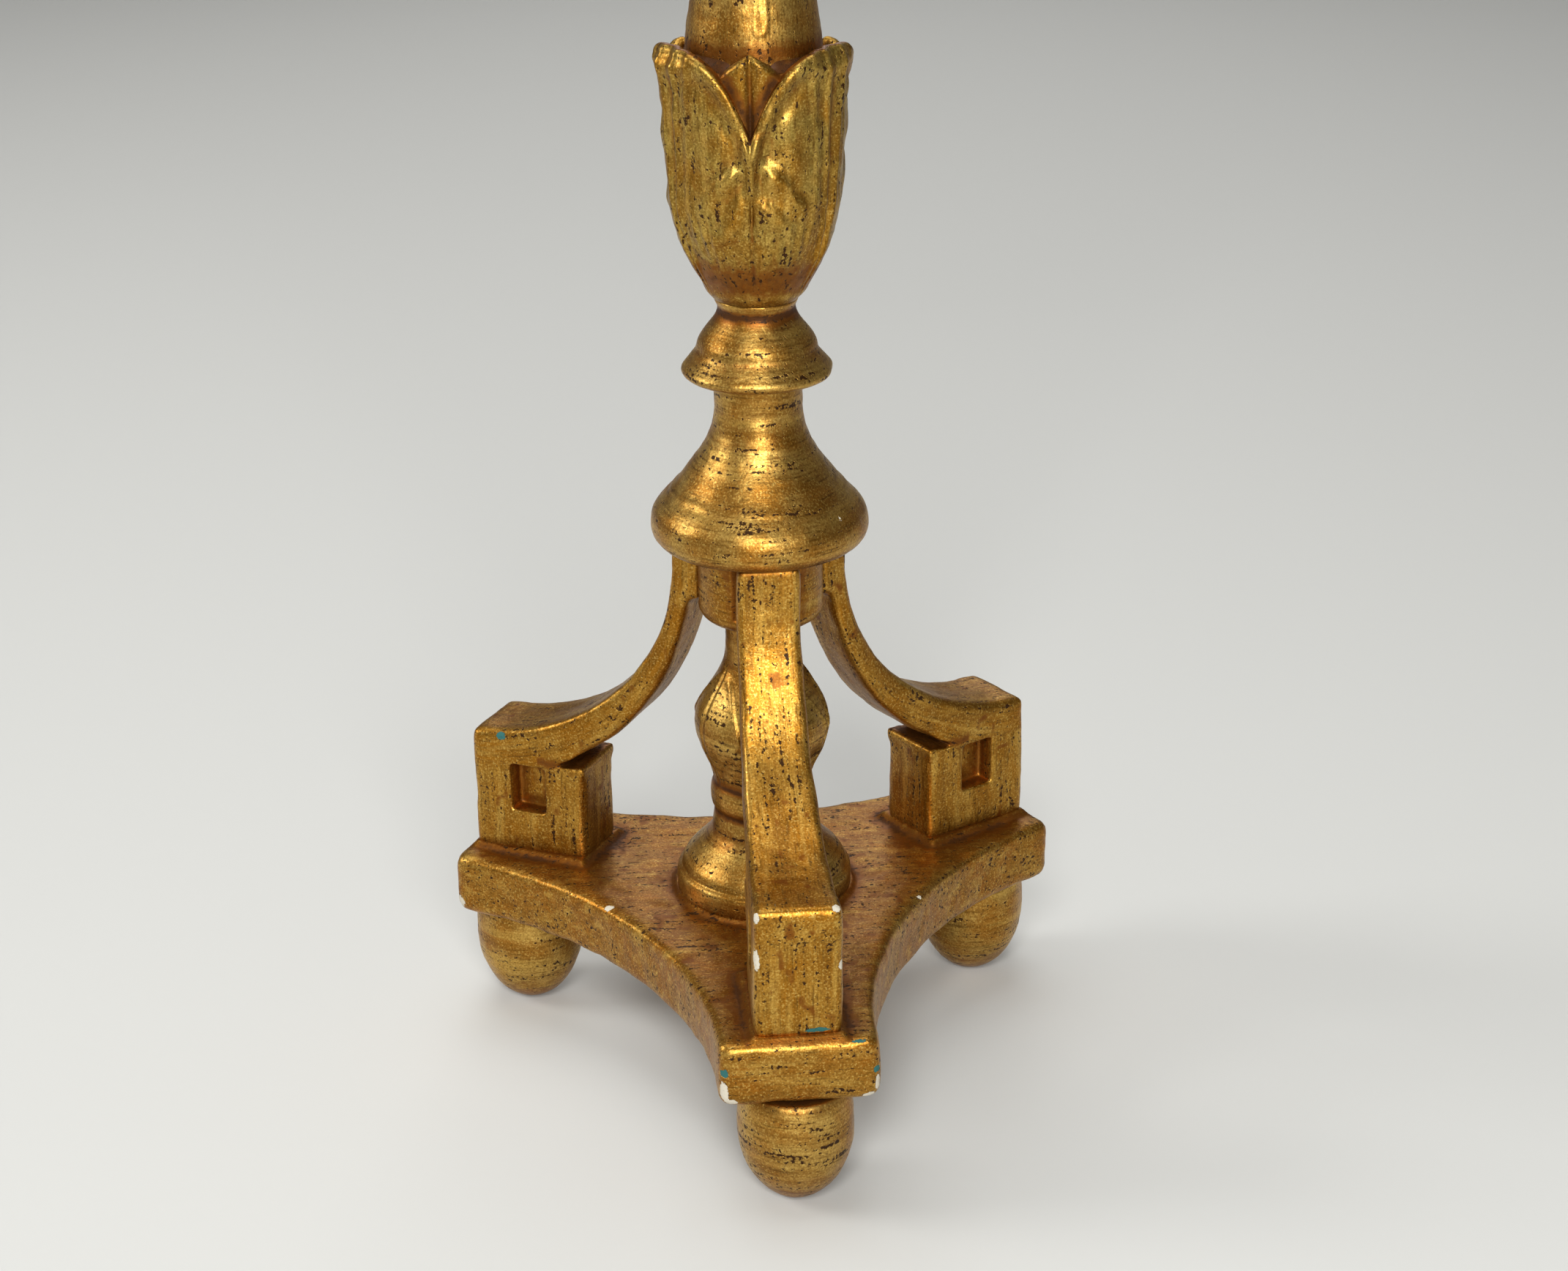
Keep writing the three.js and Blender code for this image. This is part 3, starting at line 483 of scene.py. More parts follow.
# Beech pegs, shaved and left bare: pale, matt, with a short close grain.
beech = fine_grained("beech_pegs", "#C9A677", 0.0, 0.7, 1.4, 0.05)


# ------------------------------------------------------------------------- the column's pieces


def seat_shade_and_grime(*levels, reach=2.2):
    """Painted shade, with some glaze caught, where one turned piece stands on another."""

    def grime_and_shade(points):
        return sum(0.9 * bump(points[:, 2] - level, reach) for level in levels)

    return grime_and_shade


def spots(*places):
    """Spots as (x, y, z, and half a size along each) in mm; 1 inside, fading over the rim."""

    def inside(points):
        best = np.zeros(len(points))
        for place in np.array(places, float):
            away = np.linalg.norm((points - place[:3]) / place[3:], axis=1)
            best = np.maximum(best, np.clip(1.6 - away, 0, 1))
        return best

    return inside


baluster_turning = (
    Turning(SPIGOT_RADIUS, -SPIGOT_LENGTH)
    .line(SPIGOT_RADIUS, SPIGOT_LENGTH)
    .step(BALUSTER_FOOT)
    .line(BALUSTER_FOOT, 8.5)
    .ovolo(38.5, 2.5)
    .ogee(23.6, 23)
    .line(22.6, 8)
    .torus(24.5, 13, 22.6)
    .ogee(30.7, 30)
    .ogee(16.2, 36)
    .line(16.2, 16.2)
    .step(SPIGOT_RADIUS)
    .line(SPIGOT_RADIUS, SPIGOT_LENGTH)
)


def bulb_leaves(angle, z):
    """Four leaves wrapped up round the baluster's bulb, meeting in twisted seams."""
    quarter = math.pi / 2
    share = (angle - (FRONT - math.radians(68))) / quarter
    across = 2 * np.abs(share - np.round(share))
    bulb_radius = 30
    gap = (1 - across) * bulb_radius * quarter / 2
    side = across * bulb_radius * quarter / 2
    foot, valley, tip = 54.0, 84.0, 112.0
    rim = valley + (tip - valley) * (1 - across**2.6)
    inside = fade(rim - z, -0.8, 0.8) * fade(z, foot, foot + 7)
    below = np.clip(rim - z, 0, None)
    edge_roll = 1.0 * bump(below - 2.2, 2.2) * fade(across, 0.1, 0.4)
    ribs = 0.4 * bump(side - 2.4, 1.6) - 0.5 * bump(side, 1.0)
    twist = 1.3 * np.sin(z / 4.5)
    fold = 1.1 * bump(gap - 2.2 + twist, 2.4) * fade(z, foot + 6, foot + 16)
    seam = -0.9 * bump(gap - 0.4 * twist, 0.9) * fade(z, foot + 2, foot + 8)
    eye = -2.0 * bump(gap - 1.2, 2.2) * bump(z - 80, 2.4)
    slant = -0.7 * bump(z + 0.9 * gap - valley + 5, 3.0) * fade(gap, 2, 8)
    return 0.62 * inside * (0.4 + edge_roll + ribs + fold + seam + eye + slant)


bell_turning = (
    Turning(SPIGOT_RADIUS, -SPIGOT_LENGTH)
    .line(SPIGOT_RADIUS, SPIGOT_LENGTH)
    .step(42)
    .ovolo(49.2, 8.5)
    .line(48.9, 3)
    .line(47.9, 3.4)
    .line(45.9, 3.2)
    .line(43.0, 3.2)
    .line(40.4, 2.6)
    .line(39.2, 2.2)
    .line(38.0, 0.6)
    .line(36.4, 2)
    .line(33.9, 3.2)
    .line(30.4, 4.8)
    .line(26.6, 5.1)
    .line(23.2, 6.2)
    .line(20.9, 6)
    .line(19.6, 8)
    .line(19.6, 14.5)
    .step(SOCKET_RADIUS)
)

knop_turning = (
    Turning(SPIGOT_RADIUS, -SPIGOT_LENGTH)
    .line(SPIGOT_RADIUS, SPIGOT_LENGTH)
    .step(22.6)
    .ovolo(33.4, 3.7)
    .ovolo(32.4, 2.2)
    .line(26.9, 7)
    .line(26.6, 1.4)
    .ogee(17.2, 18)
    .ogee(18.9, 4.5)
    .step(SOCKET_RADIUS)
)

column_turning = (
    Turning(SPIGOT_RADIUS, -SPIGOT_LENGTH)
    .line(SPIGOT_RADIUS, SPIGOT_LENGTH)
    .step(29.2)
    .ogee(24.8, 41)
    .line(19, 342)
    .step(SPIGOT_RADIUS)
    .line(SPIGOT_RADIUS, 12 + SPIGOT_LENGTH)
)


def gilding_run(angle, z):
    """A thick run of size that set in a loop on the front of the column."""
    across = (angle - FRONT + math.pi) % (2 * math.pi) - math.pi
    across = across * 28 - 0.6  # mm round from the front
    loop, low, thick = 2.5, 17.5, 0.7
    sides = bump(np.abs(across) - loop, thick) * fade(z, 15.5, 18) * fade(60 - z, 0, 25)
    hook = bump(np.hypot(across, np.clip(low - z, 0, None)) - loop, thick) * (z < low)
    return 0.5 * np.maximum(sides, hook) * (np.abs(across) < 8)


ring_turning = (
    Turning(SOCKET_RADIUS)
    .step(20.5)
    .line(20.5, 3)
    .torus(25, 6, 20.5)
    .line(20.5, 3)
    .step(SOCKET_RADIUS)
)

pan_turning = (
    Turning(SPIGOT_RADIUS, -SPIGOT_LENGTH)
    .line(SPIGOT_RADIUS, SPIGOT_LENGTH)
    .step(20)
    .ovolo(18, 17)
    .ovolo(60, 15)
    .ovolo(64, 6)
    .step(55)
    .ovolo(46, -11)
    .step(SPIKE_HOLE)
)

hub_turning = (
    Turning(SOCKET_RADIUS)
    .step(21.5)
    .ovolo(28.5, 7)
    .line(28.5, 30.5)
    .step(SOCKET_RADIUS)
)


def egg_foot():
    """An egg with a small flat to stand on, and a peg at the top that goes into the plinth."""
    flat, peg = 6, 8
    start = math.asin(flat / FOOT_RADIUS)
    drop = FOOT_BELLY / math.cos(start)
    foot = Turning(0.5).step(flat)
    for t in np.linspace(start, math.pi / 2, 40)[1:]:
        foot.points.append((FOOT_RADIUS * math.sin(t), FOOT_BELLY - drop * math.cos(t)))
    return foot.ovolo(22.5, 20).step(peg).line(peg, 18)


# Each turned piece is darkened where it stands on the next: painted shade, with some glaze.
baluster = turned("baluster_turned", baluster_turning, PLINTH_TOP, bulb_leaves, seed=3, soften=1.1)
gilded(
    baluster,
    ["baluster"],
    turned_gilding,
    round_lay,
    seat_shade_and_grime(PLINTH_TOP, PLINTH_TOP + 42, PLINTH_TOP + 55, reach=2.6),
)

bell = turned("bell_turned", bell_turning, BELL_BASE, seed=11, soften=1.5)
gilded(
    bell,
    ["bell"],
    turned_gilding,
    round_lay,
    seat_shade_and_grime(BELL_BASE, KNOP_BASE),
    spots((33.9, -31.8, 282.5, 2.2, 2.2, 2.2)),
)

knop = turned("knop_turned", knop_turning, KNOP_BASE, seed=19, soften=1.5)
gilded(knop, ["knop"], turned_gilding, round_lay, seat_shade_and_grime(KNOP_BASE, CALYX_BASE - 5.3))

column = turned("column_turned", column_turning, COLUMN_BASE, gilding_run, seed=23, step=1.15)
gilded(
    column,
    ["column"],
    turned_gilding,
    upright_lay,
    seat_shade_and_grime(COLUMN_BASE + 7, RING_BASE, reach=5),
)

ring = turned("neck_ring_turned", ring_turning, RING_BASE, seed=29)
gilded(ring, ["neck_ring"], turned_gilding, round_lay, seat_shade_and_grime(RING_BASE, CAPITAL_BASE))

pan = turned("drip_pan_turned", pan_turning, PAN_BASE, seed=31)
gilded(pan, ["drip_pan"], turned_gilding, round_lay, seat_shade_and_grime(PAN_BASE, PAN_BASE + 17))


def hub_piece():
    """The hub, with flats cut for the three legs."""
    piece = turned("hub_turned", hub_turning, HUB_BASE, seed=37)
    points = mesh_points(piece.data)
    for turn in range(3):
        out = np.append(polar(1, facing(turn)), 0)
        over = np.clip(points @ out - HUB_FLAT, 0, None)
        over[points[:, 2] < BELL_BASE - HUB_DROP] = 0
        points -= over[:, None] * out
    move_points(piece.data, points)
    return piece


def hub_painted_shade(points):
    """Painted shade under the bell and along the backs of the legs."""
    dark = 0.9 * bump(points[:, 2] - BELL_BASE, 8)
    for turn in range(3):
        aside = np.abs(points[:, :2] @ polar(1, facing(turn) + math.pi / 2))
        ahead = points[:, :2] @ polar(1, facing(turn))
        dark += 0.8 * bump(aside - 15, 3.5) * (ahead > 10)
    return np.clip(dark, 0, 1)


gilded(hub_piece(), ["hub"], leg_gilding, round_lay, hub_painted_shade)


def foot_shade_and_dark_reflection(points):
    """Painted shade in the joint under the plinth, and a painted dark reflection, darker towards
    the floor.
    """
    return np.clip(seat_shade_and_grime(PLINTH_BASE)(points) + 0.6 * fade(24 - points[:, 2], 0, 24), 0, 1)


for turn, side in enumerate(SIDES):
    name, centre = "foot_" + side + "_turned", polar(FOOT_RADIAL, facing(turn))
    foot = turned(name, egg_foot(), 0, seed=41 + 6 * turn, soften=0.8, centre=centre)
    points = mesh_points(foot.data)
    points[:, 2] = np.maximum(points[:, 2], 0)  # flat on the floor
    move_points(foot.data, points)
    gilded(foot, ["foot_" + side], turned_gilding, round_lay, foot_shade_and_dark_reflection)


# ------------------------------------------------------------------------- carved leaf cups


class LeafCup:
    """Sizes of one carved cup: three broad leaves outside, three narrow ones in their gaps.

    base, belly and lip are radii. The heights are above the cup's base: tips of the leaves,
    valleys between them, and the floor that a guest of the given radius stands on. scale is the
    size of the carving against the lower cup's.
    """

    def __init__(self, base, belly, belly_z, lip, tip_z, valley_z, floor_z, guest, scale):
        self.base, self.belly, self.belly_z, self.lip = base, belly, belly_z, lip
        self.tip_z, self.valley_z, self.floor_z = tip_z, valley_z, floor_z
        self.guest, self.scale = guest, scale
        self.reach = self.belly * THIRD / 2 * 1.05  # mm round from a midrib to a seam
        self.wall = 6.4 * scale

    def radius(self, z):
        """The plain surface: a round bottom that runs on into nearly straight sides."""
        low = np.clip(z / (1.25 * self.belly_z), 0, 1)
        high = np.clip(z - 0.6 * self.belly_z, 0, None) / (self.tip_z - 0.6 * self.belly_z)
        swell = (self.belly - self.base) * (1 - (1 - low) ** 2.3)
        roll = 0.7 * self.scale * bump(z - 3.5 * self.scale, 2.6 * self.scale)
        return self.base + 0.3 * self.scale + roll + swell + (self.lip - self.belly) * high**1.4

    def across(self, angle, turn):
        """0 on a leaf's midrib, 1 in the seam between two leaves."""
        share = (angle - turn) / THIRD
        return 2 * np.abs(share - np.round(share))

    def broad_rim(self, across):
        return self.valley_z + (self.tip_z - self.valley_z) * (1 - across**3.4)

    def below_rim(self, across, z):
        """Distance inwards from a broad leaf's edge, square to the edge."""
        rise = (self.tip_z - self.valley_z) * 3.4 * across**2.4 / self.reach
        return (self.broad_rim(across) - z) / np.sqrt(1 + rise**2)

    def narrow_rim(self, side):
        """The narrow leaf's pointed tip, and the shoulders it falls to on each side."""
        fall = np.clip(side / (13 * self.scale), 0, 1) ** 1.3
        return self.tip_z - (self.tip_z - self.floor_z - 0.5) * fall


def broad_carving(cup, angle, z, turn):
    """Height of the carving on the broad leaves, in mm off the cup's plain surface."""
    s = cup.scale
    across = cup.across(angle, turn)
    side, gap = across * cup.reach, (1 - across) * cup.reach
    edge = cup.below_rim(across, z)
    at = np.stack([angle * cup.belly, z, np.zeros_like(z)], -1)
    astray = 4.5 * s * field(at, 15 * s, 4) + 2.0 * s * field(at, 7 * s, 5)
    below_valley = cup.valley_z - z

    # The rim rolls over, thickest and drawn in at the tips, with a hollow under it.
    tip = fade(0.5 - across, 0, 0.35)
    rolled = 1.5 * bump(edge - 3.2 * s - 4.5 * s * tip, (3.6 + 2 * tip) * s)
    rolled -= 1.6 * tip * bump(edge - 3.2 * s, 2.6 * s)
    rolled -= 1.1 * bump(edge - 11 * s, 5 * s) * fade(across, 0.1, 0.5)

    # The seam: a wandering ridge that parts towards the valley, then a split, then a join.
    parting = 3 * s * fade(12 * s - below_valley, 0, 12 * s)
    wander = 1.3 * s * np.sin(z / (5.5 * s) + angle * 3)
    ridge = 1.9 * bump(gap - parting + 0.5 * wander, 2.6 * s)
    ridge = ridge * fade(below_valley, -4 * s, 3 * s) * fade(34 * s - below_valley, 0, 12 * s)
    split = 1.7 * bump(gap, 0.9 * s) * fade(below_valley, 22 * s, 27 * s)
    split = split * fade(40 * s - below_valley, 0, 6 * s)
    join = 0.5 * bump(gap, 1.6 * s) * fade(below_valley, 34 * s, 40 * s)

    # Side veins slant down from the seam, and a midrib stands between two fine grooves.
    level = z + 0.95 * gap + astray - cup.valley_z
    reach = fade(gap, 1 * s, 8 * s) * fade(30 * s - gap, 0, 18 * s)
    veins = -1.3 * bump(level - 3 * s, 6 * s) + 1.0 * bump(level + 7 * s, 5 * s)
    veins += -1.4 * bump(level + 17 * s, 6 * s) + 0.8 * bump(level + 26 * s, 5 * s)
    veins += -0.9 * bump(level + 33 * s, 5 * s)

    ribs_apart = (2 + 4 * z / cup.tip_z) * s
    midrib = 1.3 * bump(side - ribs_apart, 1.5 * s) - 1.2 * bump(side, 0.45 * ribs_apart)
    outer = 0.7 * bump(side - 2.1 * ribs_apart - 1.2 * s, 1.7 * s) * fade(z, 0.1, 0.9 * cup.tip_z)

    # Short flutes round the cup's bottom, and the unevenness of the carver's cuts.
    flutes = 0.35 * np.cos(2 * math.pi * side / (5.6 * s)) * (0.6 + 0.8 * field(at, 16 * s, 6))
    flutes = flutes * bump(z - 0.48 * cup.belly_z - 0.02 * gap**2, 10 * s)
    sag = -1.6 * s * across**4
    lumps = 0.8 * field(at, 10 * s, 7) + 0.3 * field(at, 4.5 * s, 8)
    carved = rolled + ridge - split - join + reach * veins + midrib + outer + flutes + lumps
    carved = carved * s
    return fade(z, 2 * s, 22 * s) * (carved + sag)


def leaf_cup(name, cup, base, seed):
    """The cup as two skins, the broad leaves and the narrow ones behind their gaps."""
    middle = FRONT + LEAF_TURN  # the narrow front leaf; the broad ones stand a sixth round
    broad_turn = middle + THIRD / 2
    step = 0.7
    columns = int(2 * math.pi * cup.lip / step) // 6 * 6
    angle = middle + np.arange(columns) * 2 * math.pi / columns

    def ring(radius, z):
        radius, z = np.broadcast_to(radius, angle.shape), np.broadcast_to(z, angle.shape)
        out = np.stack([np.cos(angle), np.sin(angle), np.zeros(columns)], -1)
        point = radius[:, None] * out + np.stack([0 * z, 0 * z, z + base], -1)
        return point + (unevenness(point, seed) * fade(radius, 6, 14))[:, None] * out

    def over_the_rim(lip, rim, trough_radius):
        """Rows round the thick edge of a leaf and down into the trough behind it."""
        half = cup.wall / 2
        turned_over = [
            ring(lip - half * (1 - math.cos(t)), rim + half * math.sin(t))
            for t in np.linspace(0, math.pi, 11)[1:]
        ]
        inner = lip - cup.wall
        filled = cup.floor_z + 0.7 * (cup.tip_z - cup.floor_z)  # thick with size and dirt
        trough = []
        for t in np.linspace(0, 1, 16)[1:]:
            z = rim + (filled - rim) * t - 2.2 * cup.scale * math.sin(math.pi * t**0.7)
            trough.append(ring(inner + (trough_radius - inner) * t, z))
        return turned_over + trough

    across = cup.across(angle, broad_turn)
    rim = cup.broad_rim(across) - cup.wall / 2
    rows = []
    for t in np.linspace(0, 1, int(cup.tip_z / step)):
        z = rim * t
        rows.append(ring(cup.radius(z) + broad_carving(cup, angle, z, broad_turn), z))
    lip = cup.radius(rim) + broad_carving(cup, angle, rim, broad_turn)
    rows += over_the_rim(lip, rim, cup.guest - 2)
    broad = stacked_rings(name, rows, columns)

    side = cup.across(angle, middle) * cup.reach
    rim = cup.narrow_rim(side) - cup.wall / 2
    rim = rim - 3.5 * cup.scale * (np.cos(angle - middle) < 0)  # the two at the back stand lower
    start = cup.valley_z - 7 * cup.scale
    rows = []
    for t in np.linspace(0, 1, int((cup.tip_z - start) / step)):
        z = start + (rim - start) * t
        sunk = (3.4 - 1.9 * t) * cup.scale
        fold = 1.4 * bump(side - 4.5 * cup.scale, 3.8 * cup.scale) - 1.1 * bump(side, 1.2)
        rows.append(ring(cup.radius(z) - sunk + fold * cup.scale, z))
    lip = cup.radius(rim) - 1.5 * cup.scale + fold * cup.scale
    rows += over_the_rim(lip, rim, cup.guest - 2)
    return broad, stacked_rings(name + "_inner", rows, columns)


def leaf_shade_and_glaze(cup, base):
    """Glaze and painted shade in the trough behind the leaves, in the gaps between them and under
    their swell.
    """

    def grime_and_shade(points):
        z = points[:, 2] - base
        angle = np.arctan2(points[:, 1], points[:, 0])
        radius = np.hypot(points[:, 0], points[:, 1])
        across = cup.across(angle, FRONT + LEAF_TURN + THIRD / 2)
        behind = fade(cup.radius(z) - radius, 4.5 * cup.scale, 9 * cup.scale)
        trough = 1.2 * behind * (z > cup.valley_z)
        outside = cup.below_rim(across, z)
        gap = 1.3 * bump(outside + 1.4 * cup.scale, 3.2 * cup.scale) * (outside < 0.5)
        foot = 0.85 * bump(z - 0.28 * cup.belly_z, 9 * cup.scale)
        return np.clip(np.maximum(trough, gap) + foot, 0, 1.3)

    return grime_and_shade


calyx_cup = LeafCup(
    base=18.4,
    belly=37.4,
    belly_z=46.0,
    lip=41.0,
    tip_z=112.7,
    valley_z=77.3,
    floor_z=104.0,
    guest=29.2,
    scale=1.0,
)
capital_cup = LeafCup(
    base=15.5,
    belly=28.0,
    belly_z=34.0,
    lip=33.5,
    tip_z=74.0,
    valley_z=50.0,
    floor_z=60.0,
    guest=20.0,
    scale=0.72,
)

for node, cup, base, seed in (
    ("calyx", calyx_cup, CALYX_BASE, 53),
    ("capital", capital_cup, CAPITAL_BASE, 59),
):
    grime_and_shade = leaf_shade_and_glaze(cup, base)
    for skin in leaf_cup(node + "_leaves", cup, base, seed):
        gilded(skin, [node], leaf_gilding, upright_lay, grime_and_shade, hollow_depth=1.5)


# ------------------------------------------------------------------------- plinth and legs


def remake(piece, voxel):
    """Gives a solid even small faces, voxel mm across."""
    remesh = piece.modifiers.new("even", "REMESH")
    remesh.mode, remesh.voxel_size = "VOXEL", voxel * MM
    graph = bpy.context.evaluated_depsgraph_get()
    fresh = bpy.data.meshes.new_from_object(piece.evaluated_get(graph))
    old = piece.data
    piece.modifiers.clear()
    piece.data = fresh
    bpy.data.meshes.remove(old)
    fresh.name = piece.name


def rub(mesh, rounds, spared=None):
    """Rubs the arrises round, but for places where spared is 1."""
    points, edges = mesh_points(mesh), mesh_edges(mesh)
    crisp = spread(points, edges, 2)
    soft = spread(crisp, edges, rounds)
    share = 0 if spared is None else spared(points)[:, None]
    move_points(mesh, crisp * share + soft * (1 - share))


def plinth_outline():
    """Three short corner faces joined by hollow arcs, as points in mm."""
    points = []
    reach, half = math.hypot(CORNER_REACH, CORNER_HALF), math.atan2(CORNER_HALF, CORNER_REACH)
    for turn in range(3):
        before, after = polar(reach, facing(turn) - half), polar(reach, facing(turn) + half)
        following = polar(reach, facing(turn) + THIRD - half)
        middle = (after + following) / 2
        chord = np.linalg.norm(after - following) / 2
        sag = np.linalg.norm(middle) - HOLLOW_REACH
        bend = (chord**2 + sag**2) / (2 * sag)
        centre = middle / np.linalg.norm(middle) * (HOLLOW_REACH + bend)
        inward = math.atan2(middle[1], middle[0]) + math.pi
        half_turn = math.asin(chord / bend)
        for t in np.linspace(0, 1, 40, endpoint=False):
            points.append(before + (after - before) * t)
        for t in np.linspace(half_turn, -half_turn, 130, endpoint=False):
            points.append(centre + polar(bend, inward + t))
    return np.array(points)


def smoothed_ring(points, rounds):
    """A closed outline with its corners eased."""
    for _ in range(rounds):
        points = (np.roll(points, 1, 0) + 2 * points + np.roll(points, -1, 0)) / 4
    return points


def inset_ring(points, amount):
    """A closed outline moved inwards, square to itself."""
    along = np.roll(points, -1, 0) - np.roll(points, 1, 0)
    inward = np.stack([-along[:, 1], along[:, 0]], 1)
    inward /= np.linalg.norm(inward, axis=1)[:, None]
    return points + inward * amount


SPLIT_PLACE = (-104.2, 1.3)  # a drying split in the left hollow side


def foot_gap(points):
    """Distance on the plinth's top from the nearest leg's block or the baluster's foot."""
    best = np.abs(np.hypot(points[:, 0], points[:, 1]) - BALUSTER_FOOT)
    for turn in range(3):
        out, side = polar(1, facing(turn)), polar(1, facing(turn) + math.pi / 2)
        r, t = points[:, :2] @ out, np.abs(points[:, :2] @ side)
        dr = np.maximum(np.maximum(BLOCK_BACK - r, r - LEG_FRONT), 0)
        best = np.minimum(best, np.hypot(dr, np.maximum(t - BLOCK_HALF, 0)))
    return best


def plinth_piece():
    """The plank: rounded edges, worn faces, gesso heaped round the feet on it, and one split."""
    outline = smoothed_ring(plinth_outline(), 9)
    top = PLINTH_TOP - PLINTH_BASE
    quarter = np.linspace(0, math.pi / 2, 7)
    under, over = 5, 3  # radii of the lower and upper edges
    profile = [(under - under * math.sin(a), under - under * math.cos(a)) for a in quarter]
    profile += [(over - over * math.cos(a), top - over + over * math.sin(a)) for a in quarter]
    rings = []
    for inset, z in profile:
        ring_points = inset_ring(outline, inset)
        rings.append(np.c_[ring_points, np.full(len(ring_points), z + PLINTH_BASE)])
    piece = stacked_rings("plinth_sawn", rings, len(outline))
    remake(piece, 1.3)
    mesh = piece.data
    rub(mesh, 9)
    points, normals = mesh_points(mesh), mesh_normals(mesh)
    points += normals * (unevenness(points, 61) * 1.3 - 0.45)[:, None]
    on_top = normals[:, 2] > 0.8
    points[:, 2] += on_top * 2.4 * np.clip(1 - foot_gap(points) / 3.6, 0, 1) ** 2
    x, y = points[:, 0] - SPLIT_PLACE[0], points[:, 1] - SPLIT_PLACE[1]
    split = np.hypot(x, y + 0.6 * np.sin(points[:, 2]))
    points -= normals * (0.9 * bump(split, 0.9) * (points[:, 2] < 84))[:, None]
    move_points(mesh, points)
    return piece


def plinth_shade_and_grime(points):
    """Painted shade round what stands on the plinth; a little darker over all its top, dirt in
    blots on it, and dark in the split.
    """
    above = points[:, 2] > PLINTH_TOP - 2
    blots = 0.45 * fade(field(points, 6, 63), 0.6, 0.75)
    crack = bump(np.hypot(points[:, 0] - SPLIT_PLACE[0], points[:, 1] - SPLIT_PLACE[1]), 1.2)
    return above * (0.8 * bump(foot_gap(points), 4) + 0.08 + blots) + crack


def along_edge(points):
    """Strokes along the plinth's edge and across its top."""
    return points * [1 / 8, 1.0, 1.0]


gilded(
    plinth_piece(),
    ["plinth"],
    plinth_gilding,
    along_edge,
    plinth_shade_and_grime,
    # Gesso bared at the front face's lower corners, in the hollow edges and at the left corner
    spots(
        (-33.5, -148.5, 65, 2.1, 2.6, 5.5),
        (-30.5, -149, 59.5, 3, 2.6, 1.8),
        (34.5, -148.5, 64, 1.9, 2.6, 4.6),
        (30, -149, 58.5, 3, 3, 1.8),
        (-75.3, -16.4, 86.5, 3.4, 1.6, 1.4),
        (72.3, -23.8, 86.5, 2.6, 1.4, 1.4),
        (-146, 44, 62, 4, 4, 3.4),
    ),
    # Older paint along the front face's top edge and beside the chips
    spots(
        (25, -148.6, 86.3, 6.5, 1.4, 1.2),
        (-33, -148.5, 74, 2, 2.5, 2),
        (35, -148, 58, 2.2, 3, 2),
        (33.5, -148.5, 71.5, 1.6, 2.5, 1.6),
    ),
)


def half_width(radial):
    """Half the board's width, which widens outwards from strap to block."""
    share = (radial - STRAP_TOP) / (LEG_FRONT - STRAP_TOP)
    return STRAP_HALF + (BLOCK_HALF - STRAP_HALF) * share


def leg_outline():
    """The leg's side, as (distance from the axis, height above the plinth) in mm."""
    block_rise = 62.5
    across, up = LEG_FRONT - STRAP_TOP, LEG_BEND - block_rise
    inner_across, inner_up = across + 9.6, up + 22.5
    points = [(BLOCK_BACK, 0), (LEG_FRONT, 0)]
    for a in np.linspace(0, math.pi / 2, 60):
        points.append((LEG_FRONT - across * math.sin(a), LEG_BEND - up * math.cos(a)))
    back, shoulder = HUB_FLAT + 0.3, LEG_RISE - HUB_DROP + 0.3
    points += [(STRAP_TOP, LEG_RISE), (back, LEG_RISE), (back, shoulder)]
    start = math.asin((LEG_BEND - shoulder) / inner_up)
    stop = math.acos((LEG_FRONT - SLOT_FRONT) / inner_across)
    for a in np.linspace(start, stop, 60):
        points.append((LEG_FRONT - inner_across * math.cos(a), LEG_BEND - inner_up * math.sin(a)))
    points.append((BLOCK_BACK, SLOT_LEVEL))
    return np.array(points)


def sawn_board(name, outline, width):
    """An outline in the (r, z) plane, thickened to width(r) each side of the middle."""
    count = len(outline)
    reach = np.broadcast_to(width(outline[:, 0]), count)
    sides = [np.c_[outline[:, 0], sign * reach, outline[:, 1]] for sign in (-1, 1)]
    i = np.arange(count)
    beside = (i + 1) % count
    quads = np.stack([i, i + count, beside + count, beside], 1)
    caps = [range(count), range(2 * count - 1, count - 1, -1)]
    return make_mesh(name, np.vstack(sides), quads, caps)


def near_pocket(points):
    """1 round the sunk squares and in the gap of the key, where the carver left crisp edges."""
    r, z = points[:, 0], points[:, 2]
    dr = np.maximum(np.abs(r - POCKET_OUT) - POCKET_HALF, 0)
    dz = np.maximum(np.abs(z - POCKET_UP) - POCKET_HALF_UP, 0)
    key = np.hypot(np.clip(r - SLOT_FRONT, 0, None), z - SLOT_LEVEL)
    return np.maximum(1 - fade(np.hypot(dr, dz), 1, 4), 1 - fade(key, 4, 8))


